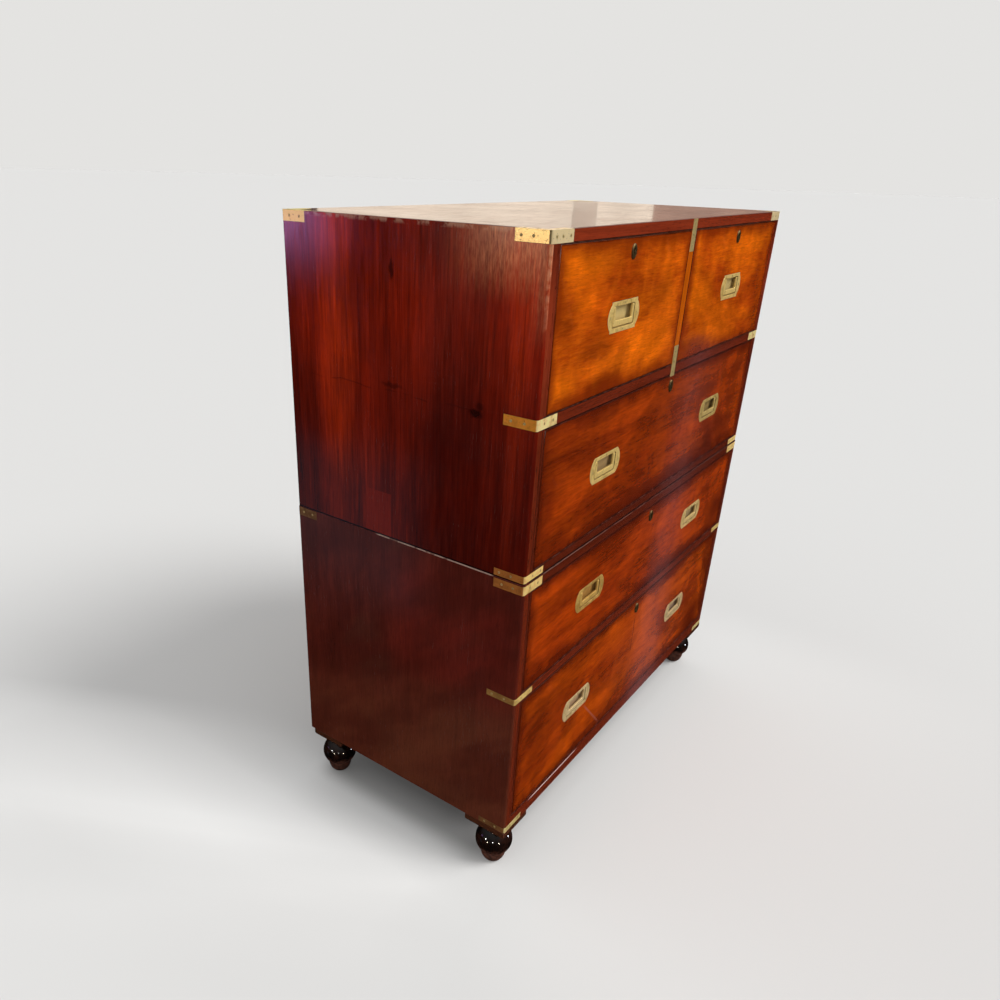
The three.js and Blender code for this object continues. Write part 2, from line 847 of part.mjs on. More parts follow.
function roundedRectangle(width, height, radius) {
  const u = width / 2;
  const v = height / 2;
  const shape = new THREE.Shape();
  shape.moveTo(-u + radius, -v);
  shape.lineTo(u - radius, -v);
  shape.absarc(u - radius, -v + radius, radius, -Math.PI / 2, 0, false);
  shape.lineTo(u, v - radius);
  shape.absarc(u - radius, v - radius, radius, 0, Math.PI / 2, false);
  shape.lineTo(-u + radius, v);
  shape.absarc(-u + radius, v - radius, radius, Math.PI / 2, Math.PI, false);
  shape.lineTo(-u, -v + radius);
  shape.absarc(-u + radius, -v + radius, radius, Math.PI, 1.5 * Math.PI, false);
  shape.closePath();
  return shape;
}

function panOutline(grow) {
  return roundedRectangle(panWidth + 2 * grow, panHeight + 2 * grow, panCorner + grow);
}

function pin(x0, x1, radius) {
  const length = x1 - x0;
  return new THREE.CylinderGeometry(radius, radius, length, pinSegments)
    .rotateZ(Math.PI / 2)
    .translate(x0 + length / 2, 0, 0);
}

const pinHeight = panHeight / 2 - pinDrop;
const pinDepth = -plateProud + bailSink + bailThickness / 2;

function handlePlate(style) {
  const face = -plateProud;
  const flange = prismY(plateOutline(style, 0), face, face + plateFlange, plateSegments);
  const pan = prismY(panOutline(panWall), face, face + panDepth + panFloor);
  const hollow = prismY(panOutline(0), face - cutOverrun, face + panDepth);
  const wallEnd = panWidth / 2 + panWall + cutOverrun;
  const pinHole = pin(-wallEnd, wallEnd, pinRadius + pinClearance).translate(0, pinDepth, pinHeight);
  return carve(fuse(flange, pan), [hollow, pinHole]);
}

// The pocket for a plate: a shallow bed for the flange and a deeper one for the pan
function handlePocket(style, x, front, z) {
  const bedDepth = plateFlange - plateProud + plateGap;
  const pocketDepth = panDepth + panFloor - plateProud + plateGap;
  const bed = prismY(plateOutline(style, plateGap), front - cutOverrun, front + bedDepth, plateSegments);
  const pocket = prismY(panOutline(panWall + plateGap), front - cutOverrun, front + pocketDepth);
  return [bed.translate(x, 0, z), pocket.translate(x, 0, z)];
}

// The bail: a flat U with softened edges, hung on a pin at the end of each arm
function bail() {
  const outer = panWidth / 2 - bailSideGap;
  const inner = outer - bailArmWidth;
  const end = bailTopReach;
  const foot = -(panHeight - pinDrop - bailBottomGap);
  const bar = foot + bailBarHeight;
  const edge = bailEdge;
  const corner = bailCorner;
  const shape = new THREE.Shape();
  shape.moveTo(-outer + corner, foot + edge);
  shape.lineTo(outer - corner, foot + edge);
  shape.absarc(outer - corner, foot + corner, corner - edge, -Math.PI / 2, 0, false);
  shape.lineTo(outer - edge, end - edge);
  shape.lineTo(inner + edge, end - edge);
  shape.lineTo(inner + edge, bar + corner);
  shape.absarc(inner - corner, bar + corner, corner + edge, 0, -Math.PI / 2, true);
  shape.lineTo(-inner + corner, bar - edge);
  shape.absarc(-inner + corner, bar + corner, corner + edge, -Math.PI / 2, -Math.PI, true);
  shape.lineTo(-inner - edge, end - edge);
  shape.lineTo(-outer + edge, end - edge);
  shape.lineTo(-outer + edge, foot + corner);
  shape.absarc(-outer + corner, foot + corner, corner - edge, Math.PI, 1.5 * Math.PI, false);
  shape.closePath();
  const grip = new THREE.ExtrudeGeometry(shape, {
    depth: bailThickness - 2 * edge,
    bevelEnabled: true,
    bevelThickness: edge,
    bevelSize: edge,
    bevelSegments: 1,
    curveSegments: bailSegments,
  }).applyMatrix4(
    new THREE.Matrix4()
      .makeBasis(new THREE.Vector3(1, 0, 0), new THREE.Vector3(0, 0, 1), new THREE.Vector3(0, -1, 0))
      .setPosition(0, bailThickness / 2 - edge, 0),
  );
  const pinInside = inner + bailArmWidth / 2;
  const pinEnd = panWidth / 2 + pinReach;
  return fuse(grip, pin(-pinEnd, -pinInside, pinRadius), pin(pinInside, pinEnd, pinRadius));
}

const plateGeometry = { short: handlePlate("short"), long: handlePlate("long") };
const bailGeometry = bail();

function handle(name, style, x, front, z) {
  const group = new THREE.Group();
  const plate = mesh(`${name}_plate`, plateGeometry[style], brass);
  const grip = mesh(`${name}_bail`, bailGeometry, brass);
  grip.position.set(0, pinDepth, pinHeight);
  group.add(plate, grip);
  group.position.set(x, front, z);
  return group;
}

function drawer(name, opening, handles) {
  const group = new THREE.Group();
  group.add(
    mesh(`${name}_front`, drawerFrontGeometry(opening, handles), drawerMahogany),
    mesh(`${name}_box`, drawerBoxGeometry(opening), lining),
    mesh(`${name}_lock_bolt`, lockBolt(opening), brass),
    ...handles.map(({ label, style, x, z }) => handle(`${name}${label}`, style, x, opening.front, z)),
  );
  return group;
}

function longDrawer(name, frame, z0, height) {
  const inner = frame.left + sideThickness;
  const opening = { x0: inner, x1: -inner, z0, z1: z0 + height, front: frame.front };
  const z = z0 + height / 2;
  return drawer(name, opening, [
    { label: "_left", style: "long", x: -handleX, z },
    { label: "_right", style: "long", x: handleX, z },
  ]);
}

function shortDrawer(name, side) {
  const near = dividerThickness / 2;
  const ends = [side * near, -side * upperInner].sort((a, b) => a - b);
  const opening = {
    x0: ends[0],
    x1: ends[1],
    z0: topRowFloor,
    z1: topRowFloor + topRowHeight,
    front: upperCase.front,
  };
  const handles = [{ label: "", style: "short", x: side * handleX, z: topRowFloor + topRowHeight / 2 }];
  return drawer(name, opening, handles);
}

function buildLowerCase() {
  const group = new THREE.Group();
  group.add(
    ...mirroredPair("lower_side", lowerSide(), mahogany),
    mesh("lower_top_board", lowerTopBoard(), mahogany),
    mesh("lower_bottom_board", lowerBottomBoard(), mahogany),
    mesh("lower_back", backBoard(lowerCase, lowerBottomLevel, jointLevel), lining),
    mesh("lower_rail", lowerRail(), mahogany),
    ...mirroredPair("strap_lower_joint", strap(lowerCase, ...strapLevels.lowerJoint), brass),
    ...mirroredPair("strap_middle", strap(lowerCase, ...strapLevels.middle), brass),
    ...mirroredPair("strap_bottom", strap(lowerCase, ...strapLevels.bottom), brass),
    longDrawer("bottom_drawer", lowerCase, bottomRowFloor, bottomRowHeight),
    longDrawer("third_drawer", lowerCase, thirdRowFloor, thirdRowHeight),
  );
  return group;
}

function buildUpperCase() {
  const group = new THREE.Group();
  group.add(
    ...mirroredPair("upper_side", upperSide(), mahogany),
    mesh("top_board", topBoard(), mahogany),
    mesh("upper_bottom_board", upperBottomBoard(), mahogany),
    mesh("upper_back", backBoard(upperCase, jointLevel, topBoardLevel), lining),
    mesh("upper_rail", upperRail(), mahogany),
    mesh("drawer_divider", divider(), mahogany),
    ...mirroredPair("strap_top", topStrap(), brass),
    ...mirroredPair("strap_rail", strap(upperCase, ...strapLevels.rail), brass),
    ...mirroredPair("strap_upper_joint", strap(upperCase, ...strapLevels.upperJoint), brass),
    longDrawer("second_drawer", upperCase, secondRowFloor, secondRowHeight),
    shortDrawer("short_drawer_left", -1),
    shortDrawer("short_drawer_right", 1),
  );
  return group;
}

function buildFeet() {
  const geometry = foot();
  const group = new THREE.Group();
  const places = {
    foot_front_left: [-footX, -footY],
    foot_front_right: [footX, -footY],
    foot_rear_left: [-footX, footY],
    foot_rear_right: [footX, footY],
  };
  for (const [name, [x, y]] of Object.entries(places)) {
    const made = mesh(name, geometry, ebonised);
    made.position.set(x, y, 0);
    group.add(made);
  }
  return group;
}

const chest = new THREE.Group();
chest.add(buildLowerCase(), buildUpperCase(), buildFeet());
export default chest;
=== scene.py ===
"""Finished looks of a two-part campaign chest, built round its CAD frame in metres, +Z up, front to -Y."""

import json
import math

import bmesh
import bpy
from mathutils import Matrix, Vector


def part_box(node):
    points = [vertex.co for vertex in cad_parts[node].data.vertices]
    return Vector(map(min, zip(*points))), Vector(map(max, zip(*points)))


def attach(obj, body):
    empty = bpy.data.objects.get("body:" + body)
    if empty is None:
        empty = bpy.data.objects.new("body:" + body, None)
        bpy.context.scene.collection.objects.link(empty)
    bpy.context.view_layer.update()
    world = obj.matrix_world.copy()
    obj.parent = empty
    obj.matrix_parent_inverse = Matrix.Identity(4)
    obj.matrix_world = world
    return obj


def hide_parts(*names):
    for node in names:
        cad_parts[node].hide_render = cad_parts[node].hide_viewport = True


bl_info = {
    "name": "Campaign chest",
    "version": (1, 0, 0),
    "blender": (4, 5, 0),
    "location": "View3D > Sidebar > Chest",
    "description": "Builds the polished timber, brass, feet and studio of a two-part campaign chest",
    "category": "Add Mesh",
}

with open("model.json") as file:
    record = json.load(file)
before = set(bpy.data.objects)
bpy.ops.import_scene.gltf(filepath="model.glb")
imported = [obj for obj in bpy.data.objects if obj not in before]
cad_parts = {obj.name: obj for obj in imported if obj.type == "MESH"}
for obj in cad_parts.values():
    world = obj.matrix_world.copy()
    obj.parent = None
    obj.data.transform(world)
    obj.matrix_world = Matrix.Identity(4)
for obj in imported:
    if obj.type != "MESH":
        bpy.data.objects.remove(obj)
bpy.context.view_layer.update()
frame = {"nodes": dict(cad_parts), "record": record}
NODES = frame["nodes"]
BODY_OF = {
    node: body for body, members in frame["record"]["behaviour"]["bodies"].items() for node in members
}

MM = 0.001
WELD = 1e-6
FLAT_ANGLE = math.radians(0.6)
SHARP_ANGLE = math.radians(32)
ARRIS_ANGLE = math.radians(40)

# The photograph's viewpoint
CAMERA_PLACE = (-1.4388, -0.7896, 1.2206)
CAMERA_AZIMUTH = -53.66
CAMERA_ELEVATION = 26.29
CAMERA_ROLL = 1.73
CAMERA_LENS = 28.498
CAMERA_SHIFT = (0.05709, 0.05592)
CAMERA_SENSOR = 36.0
CAMERA_REACH = 500.0

# Where flat work stands: columns are right, up and out of the face
FACING = {
    "front": Matrix(((1, 0, 0), (0, 0, -1), (0, 1, 0))),
    "back": Matrix(((-1, 0, 0), (0, 0, 1), (0, 1, 0))),
    "top": Matrix(((1, 0, 0), (0, 1, 0), (0, 0, 1))),
}

DRAWERS = ("bottom_drawer", "third_drawer", "second_drawer", "short_drawer_left", "short_drawer_right")
HANDLES = {
    drawer: (drawer,) if drawer.startswith("short") else (f"{drawer}_left", f"{drawer}_right")
    for drawer in DRAWERS
}
FEET = ("foot_front_left", "foot_front_right", "foot_rear_left", "foot_rear_right")


# Sizes and colours that a user may change
def length(name, description, default):
    return bpy.props.FloatProperty(name=name, description=description, default=default, unit="LENGTH",
                                   precision=5, min=0.0)


def tint(name, description, default):
    return bpy.props.FloatVectorProperty(name=name, description=description, default=default,
                                         subtype="COLOR", size=3, min=0.0, max=1.0)


def share(name, description, default):
    return bpy.props.FloatProperty(name=name, description=description, default=default, subtype="FACTOR",
                                   min=0.0, max=1.0)


class ChestTimber(bpy.types.PropertyGroup):
    arris: length("Arris", "Rounding of the boards' visible edges", 0.5 * MM)
    polish: share("Polish", "Roughness of the shellac polish", 0.13)
    side_dark: tint("Side, dark", "Dark stripes of the sides", (0.13, 0.007, 0.002))
    side_red: tint("Side, red", "Main colour of the sides", (0.225, 0.0105, 0.0015))
    side_glow: tint("Side, glow", "Bright stripe of the sides", (0.5, 0.03, 0.0015))
    lower_red: tint("Lower side", "Main colour of the lower case's sides", (0.1, 0.0135, 0.0075))
    stile: tint("Stile", "Front edges of the cases", (0.17, 0.022, 0.007))
    top: tint("Top", "The top board", (0.16, 0.05, 0.024))
    front_amber: tint("Front, amber", "Light figure of the drawer fronts", (0.8, 0.15, 0.002))
    front_russet: tint("Front, russet", "Dark figure of the drawer fronts", (0.34, 0.036, 0.002))
    lining: tint("Lining", "Drawer sides and the back", (0.4, 0.21, 0.095))


class ChestBrass(bpy.types.PropertyGroup):
    polished: tint("Polished", "Rubbed brass", (0.9, 0.72, 0.36))
    tarnished: tint("Tarnished", "Aged brass", (0.52, 0.37, 0.14))
    # Colour of dirt, which also paints shade in the handles' pans and on the bails
    grime: tint("Grime", "Dirt in corners and round screws", (0.05, 0.03, 0.012))
    edge: length("Edge", "Rounding of the straps' edges", 0.3 * MM)
    proud: length("Proud", "How far surface straps stand above the wood", 0.15 * MM)
    screw_head: length("Screw head", "Radius of a screw's head", 2.3 * MM)
    screw_slot: length("Screw slot", "Width of a screw's slot", 0.9 * MM)


class ChestHandle(bpy.types.PropertyGroup):
    proud: length("Proud", "How far the plate stands above the drawer's face", 0.3 * MM)
    rim: length("Rim", "Rounding of the plate's rim", 0.5 * MM)
    lip: length("Lip", "Rounding of the pan's lip", 0.8 * MM)
    fillet: length("Fillet", "Rounding of the pan's floor", 1.8 * MM)
    grip: length("Grip", "Rounding of the bail's edges", 1.2 * MM)


class ChestStudio(bpy.types.PropertyGroup):
    sun: bpy.props.FloatProperty(name="Key light", description="Strength of the soft key light", default=2.35)
    backdrop: tint("Backdrop", "Colour of the backdrop", (0.776, 0.769, 0.753))
    floor: tint("Floor", "Colour of the floor", (0.643, 0.643, 0.64))


# Node trees
def both_ways(operation):
    """A sum as Python's two operator methods: with the node's value first, and second."""
    return (lambda value, other: value.tree.sums(operation, value, other),
            lambda value, other: value.tree.sums(operation, other, value))


class Value:
    """What a node puts out. Arithmetic on it adds Math nodes, or Vector Math nodes beside a vector."""

    __mul__, __rmul__ = both_ways("MULTIPLY")
    __add__, __radd__ = both_ways("ADD")
    __sub__, __rsub__ = both_ways("SUBTRACT")
    __truediv__, __rtruediv__ = both_ways("DIVIDE")

    def __init__(self, tree, socket):
        self.tree, self.socket = tree, socket
        self.is_vector = socket.type == "VECTOR"

    def __abs__(self):
        return self.tree.sums("ABSOLUTE", self)


class Tree:
    """Adds nodes to a tree and links them in one call each."""

    def __init__(self, tree):
        self.tree = tree

    def feed(self, socket, value):
        if isinstance(value, Value):
            self.tree.links.new(value.socket, socket)
        elif value is not None:
            socket.default_value = value

    def add(self, kind, inputs=None, **settings):
        node = self.tree.nodes.new(kind)
        for name, value in settings.items():
            setattr(node, name, value)
        for name, value in (inputs or {}).items():
            self.feed(node.inputs[name], value)
        return node

    def value(self, kind, inputs=None, output=0, **settings):
        return Value(self, self.add(kind, inputs, **settings).outputs[output])

    def values(self, node):
        return {socket.name: Value(self, socket) for socket in node.outputs if socket.name}

    def sums(self, operation, *values, clamp=False):
        if any(isinstance(v, tuple) or getattr(v, "is_vector", False) for v in values):
            return self.value("ShaderNodeVectorMath", dict(enumerate(values)), operation=operation)
        return self.value("ShaderNodeMath", dict(enumerate(values)), operation=operation, use_clamp=clamp)

    def remap(self, value, low, high, to_low=0.0, to_high=1.0, kind="LINEAR"):
        inputs = {"Value": value, "From Min": low, "From Max": high, "To Min": to_low, "To Max": to_high}
        return self.value("ShaderNodeMapRange", inputs, clamp=True, interpolation_type=kind)

    def ease(self, value, low, high, to_low=0.0, to_high=1.0):
        """A remap that sets off and arrives gently."""
        return self.remap(value, low, high, to_low, to_high, "SMOOTHSTEP")

    def window(self, value, low, high, soft):
        """One between two values, falling to zero over a soft border outside them."""
        rise = self.ease(value, low - soft, low)
        return rise * self.ease(value, high, high + soft, 1.0, 0.0)

    def blend(self, factor, a, b, mode="MIX"):
        a, b = (v if isinstance(v, Value) else (*v, 1.0) for v in (a, b))
        return self.value("ShaderNodeMix", {0: factor, 6: a, 7: b}, 2, data_type="RGBA", blend_type=mode)

    def shade(self, colour, tone):
        """A colour made lighter or darker by a number that changes over the surface."""
        return self.blend(1.0, colour, self.join(tone, tone, tone), "MULTIPLY")

    def noise(self, vector, scale, detail=2.0, roughness=0.5, distortion=0.0, colour=False):
        inputs = {"Vector": vector, "Scale": scale, "Detail": detail, "Roughness": roughness,
                  "Distortion": distortion}
        return self.value("ShaderNodeTexNoise", inputs, 1 if colour else 0)

    def wander(self, vector, scale, reach):
        """A small shift to and fro that makes a straight line ragged."""
        return (self.noise(vector, scale, 3.0) - 0.5) * reach

    def turned(self, vector, angles):
        return self.value("ShaderNodeMapping", {"Vector": vector, "Rotation": angles})

    def away(self, across, up, centre, size):
        """Distance from the middle of an upright oval, which is one at its edge."""
        du = (across - centre[0]) / size[0]
        dv = (up - centre[1]) / size[1]
        return self.sums("SQRT", du * du + dv * dv)

    def split(self, vector):
        return tuple(self.values(self.add("ShaderNodeSeparateXYZ", {0: vector})).values())

    def join(self, x, y, z):
        return self.value("ShaderNodeCombineXYZ", {0: x, 1: y, 2: z})

    def ramp(self, factor, stops):
        node = self.add("ShaderNodeValToRGB", {0: factor})
        elements = node.color_ramp.elements
        while len(elements) < len(stops):
            elements.new(0.5)
        for element, (position, colour) in zip(elements, stops):
            element.position = position
            element.color = (*(colour if isinstance(colour, tuple) else (colour, colour, colour)), 1.0)
        return Value(self, node.outputs[0])

    def attribute(self, name):
        return self.value("ShaderNodeAttribute", output="Fac", attribute_name=name)

    def use(self, maker, **inputs):
        """Places a group, which its maker builds at its first use. A name's underscore stands for a space."""
        if maker not in GROUPS:
            GROUPS[maker] = maker()
        names = {name.replace("_", " "): value for name, value in inputs.items()}
        node = self.add("ShaderNodeGroup", node_tree=GROUPS[maker])
        for name, value in names.items():
            self.feed(node.inputs[name], value)
        return self.values(node)


GROUPS = {}


def open_group(name, kinds):
    """A new shader group with a Vector input and more, given as name: kind."""
    tree = bpy.data.node_groups.new(name, "ShaderNodeTree")
    for label, kind in {"Vector": "Vector", **kinds}.items():
        tree.interface.new_socket(name=label, in_out="INPUT", socket_type=f"NodeSocket{kind}")
    t = Tree(tree)
    return t, t.values(t.add("NodeGroupInput"))


def close_group(t, **results):
    """Gives a group its outputs: numbers, and a colour where one is named so."""
    for label in results:
        kind = "Color" if label == "Colour" else "Float"
        t.tree.interface.new_socket(name=label, in_out="OUTPUT", socket_type=f"NodeSocket{kind}")
    t.add("NodeGroupOutput", results)
    return t.tree


def mahogany_figure():
    """Figure of a board whose grain runs along Z, its fibres, its pores and their relief."""
    t, entry = open_group("Mahogany figure", {
        "Seed": "Float", "Stripe Width": "Float", "Stripe Length": "Float", "Waviness": "Float"})
    seed, waviness = entry["Seed"], entry["Waviness"]
    place = entry["Vector"] + t.join(seed * 7.31, seed * 3.17, seed * 5.53)
    sway = t.noise(place * (1.0, 1.0, 0.35), 7.0, 2.0, colour=True) - (0.5, 0.5, 0.5)
    waved = place + sway * t.join(waviness, waviness, 0.0)
    drawn = waved * t.join(1.0, 1.0, 1.0 / entry["Stripe Length"])
    frequency = 1.0 / entry["Stripe Width"]
    stripes = t.noise(drawn, frequency, 3.0, 0.55)
    streaks = t.noise(drawn, frequency * 5.0, 4.0, 0.6)
    fibres = t.noise(waved * (1.0, 1.0, 0.02), 520.0, 4.0, 0.7)
    pores = t.remap(t.noise(waved * (1.0, 1.0, 0.035), 1500.0, 1.0), 0.6, 0.68)
    figure = fibres * 0.2 + (stripes * 0.4 + streaks * 0.4)
    return close_group(t, Figure=figure, Streaks=streaks, Fibres=fibres, Pores=pores,
                       Relief=fibres * 0.12 - pores * 0.06)


def handled_wear():
    """Two hundred years of use: fine scratches, bruises and cloudy polish."""
    t, entry = open_group("Handled wear", {"Seed": "Float"})
    seed = entry["Seed"]
    place = entry["Vector"] + t.join(seed * 2.71, seed * 1.93, seed)
    scratches = None
    for turn, thin in ((0.5, 0.006), (-0.9, 0.005), (2.0, 0.004)):
        turned = t.turned(place, (turn, turn * 0.7, turn))
        field = t.noise(turned * (1.0, 0.015, 0.015), 30.0, 0.0)
        gaps = t.remap(t.noise(turned, 9.0, 1.0), 0.56, 0.62)
        lines = t.remap(abs(field - 0.5), 0.0, thin, 1.0, 0.0) * gaps
        scratches = lines if scratches is None else t.sums("MAXIMUM", scratches, lines)
    spots = t.value("ShaderNodeTexVoronoi", {"Vector": place, "Scale": 38.0, "Randomness": 1.0})
    rare = t.remap(t.noise(place, 13.0, 1.0), 0.6, 0.66)
    bruises = t.ease(spots, 0.06, 0.14, 1.0, 0.0) * rare
    return close_group(t, Scratches=scratches, Bruises=bruises, Haze=t.noise(place, 6.5, 4.0, 0.6))


def border_shade():
    """Nearness of a point to the edges of an upright box between two corners."""
    t, entry = open_group("Border shade", {"Low": "Vector", "High": "Vector", "Reach": "Float"})
    where, reach = entry["Vector"], entry["Reach"]
    x, y, z = t.split(t.sums("MINIMUM", where - entry["Low"], entry["High"] - where))
    nearest = t.sums("MINIMUM", t.sums("MINIMUM", x, y), z)
    ratio = (nearest + t.wander(where, 26.0, reach)) / reach
    return close_group(t, Shade=t.ease(ratio, 0.0, 1.0, 1.0, 0.0))


def brass_patina():
    """Old brass: rubbed and tarnished patches, brown spots and small dents."""
    t, entry = open_group("Brass patina", {"Seed": "Float", "Age": "Float", "Polished": "Color",
                                           "Tarnished": "Color", "Grime": "Color"})
    seed = entry["Seed"]
    place = entry["Vector"] + t.join(seed, seed * 1.7, seed * 2.3)
    clouds = t.noise(place, 55.0, 4.0, 0.62, 0.6)
    tarnish = t.remap(clouds - (0.82 - entry["Age"] * 0.6), -0.14, 0.14)
    spots = t.remap(t.noise(place, 420.0, 2.0, 0.5), 0.64, 0.72)
    colour = t.blend(tarnish, entry["Polished"], entry["Tarnished"])
    return close_group(t, Colour=t.blend(spots * 0.55, colour, entry["Grime"]), Tarnish=tarnish,
                       Relief=t.noise(place, 190.0, 2.0) - spots * 0.3)


# Materials
GRAIN_TURN = {"up": (0, 0, 0), "across": (0, math.pi / 2, 0), "deep": (math.pi / 2, 0, 0)}
# Half width of a pan beyond which its floor takes a painted shadow of the bail's arms
PAN_ARM_SHADOW = 37.2 * MM
SIDE_GLOSS = 1.4
# Colour of the painted reflection of a warm glow on the upper side
GLOW_REFLECTION = (0.8, 0.24, 0.09)
ARRIS_HIGHLIGHT = (0.7, 0.36, 0.2)
WORN_EDGE_HIGHLIGHT = (0.4, 0.2, 0.13)
OLIVE_BROWN = (0.075, 0.021, 0.011)
LOW_BROWN = (0.14, 0.036, 0.016)
FLAME_RED = (0.15, 0.012, 0.007)
BLOCK_BROWN = (0.055, 0.022, 0.01)
LEDGE_HIGHLIGHT = (0.5, 0.34, 0.27)
JOINT_HIGHLIGHT = (0.4, 0.24, 0.19)
GLINT = (0.85, 0.72, 0.72)
CRACK_BLACK = (0.03, 0.006, 0.003)
PALE_RUB = (0.5, 0.25, 0.22)
# Knots of the upper side in metres: place back and up, half width, half height, and depth of the colour
SIDE_KNOTS = (
    (0.021, 1.08, 0.006, 0.022, 0.75), (-0.144, 0.89, 0.016, 0.009, 0.9), (-0.150, 0.902, 0.01, 0.008, 0.6),
    (0.02, 0.905, 0.03, 0.006, 0.5),
)
# Heights of the painted shadow lines on the rails, where a drawer or a board meets them
SEAM_SHADOWS = (0.146, 0.402, 0.422, 0.617, 0.654, 0.882, 0.902, 1.132)


def bare_tree(owner):
    """The emptied node tree of a new material or world."""
    owner.use_nodes = True
    owner.node_tree.nodes.clear()
    return Tree(owner.node_tree)


def new_material(name):
    """A material, its tree, its shader, and where each point lies."""
    material = bpy.data.materials.new(name)
    t = bare_tree(material)
    shader = t.add("ShaderNodeBsdfPrincipled")
    t.add("ShaderNodeOutputMaterial", {"Surface": Value(t, shader.outputs[0])})
    return material, t, shader, t.value("ShaderNodeTexCoord", output="Object")


def finish(t, shader, colour, roughness, height=None, strength=0.3, distance=0.0002, **plain):
    """Feeds a shader its colour, roughness and relief, and the numbers that are the same all over."""
    t.feed(shader.inputs["Base Color"], colour)
    t.feed(shader.inputs["Roughness"], roughness)
    if height:
        t.feed(shader.inputs["Normal"], t.value("ShaderNodeBump", {"Height": height, "Strength": strength,
                                                                  "Distance": distance}))
    for name, value in plain.items():
        shader.inputs[name.replace("_", " ")].default_value = value


def darker(colour, share):
    return tuple(c * share for c in colour)


def brighter(colour, share):
    return tuple(min(1.0, share * c + 0.06) for c in colour)


def mixed(a, b, share):
    return tuple((1.0 - share) * p + share * q for p, q in zip(a, b))


def timber(name, seed, grain, dark, middle, light, stripe=0.02, length_ratio=9.0, waviness=0.02,
           contrast=0.5, polish=0.17, wear=0.3, edge_wear=0.25, border=None, paint=None, gloss=1.5):
    """Polished mahogany. paint is a function with its last arguments, which adds what belongs to one board
    and may return how dull it is with its colour. border is two corners of a box, a reach and a depth of
    painted shade round the box's edges."""
    material, t, shader, where = new_material(name)
    figure = t.use(mahogany_figure, Vector=t.turned(where, GRAIN_TURN[grain]), Seed=seed, Stripe_Width=stripe,
                   Stripe_Length=length_ratio, Waviness=waviness)
    marks = t.use(handled_wear, Vector=where, Seed=seed)
    spread = 0.3 - 0.2 * contrast
    colour = t.ramp(t.remap(figure["Figure"], 0.5 - spread, 0.5 + spread),
                    [(0.12, dark), (0.5, middle), (0.88, light)])
    dull = None
    if paint:
        colour = paint[0](t, where, colour, *paint[1:])
    if isinstance(colour, tuple):
        colour, dull = colour
    fibres = t.remap(figure["Fibres"], 0.3, 0.7, 1.0 + 0.25 * contrast, 1.0 - 0.35 * contrast)
    colour = t.shade(colour, fibres)
    colour = t.blend(figure["Pores"] * 0.4, colour, darker(dark, 0.3))
    # Painted shade round the box's edges: a soft band and a dark line where the board meets its neighbours
    if border:
        low, high, reach, depth = border
        depth = t.remap(t.split(where)[1], low[1] + 1.002, low[1] + 1.004, 1.0, 0.3) * depth
        for width, tone in ((reach, 0.5), (0.0035, 0.15)):
            shade = t.use(border_shade, Vector=where, Low=low, High=high, Reach=width)["Shade"]
            colour = t.blend(shade * depth, colour, darker(dark, tone))
    colour = t.blend(marks["Bruises"] * (0.8 * wear), colour, darker(dark, 0.2))
    colour = t.blend(marks["Scratches"] * (0.3 * wear), colour, brighter(light, 0.5))
    rubbed = t.attribute("arris") * t.remap(t.noise(where, 60.0, 3.0), 0.42, 0.58)
    colour = t.blend(rubbed * edge_wear, colour, brighter(light, 0.8))
    rough = figure["Pores"] * 0.1 + t.remap(marks["Haze"], 0.3, 0.7, polish * 0.7, polish * 1.4)
    rough = marks["Scratches"] * (0.4 * wear) + rough
    rough = rough + t.remap(figure["Streaks"], 0.35, 0.65, -0.25 * polish, 0.3 * polish)
    if dull:
        rough = dull * 0.35 + rough
    height = marks["Bruises"] * -0.3 + (marks["Haze"] * 2.0 + figure["Relief"])
    finish(t, shader, colour, t.sums("MAXIMUM", rough, 0.04), height, 0.35, 0.0001, IOR=gloss)
    return material


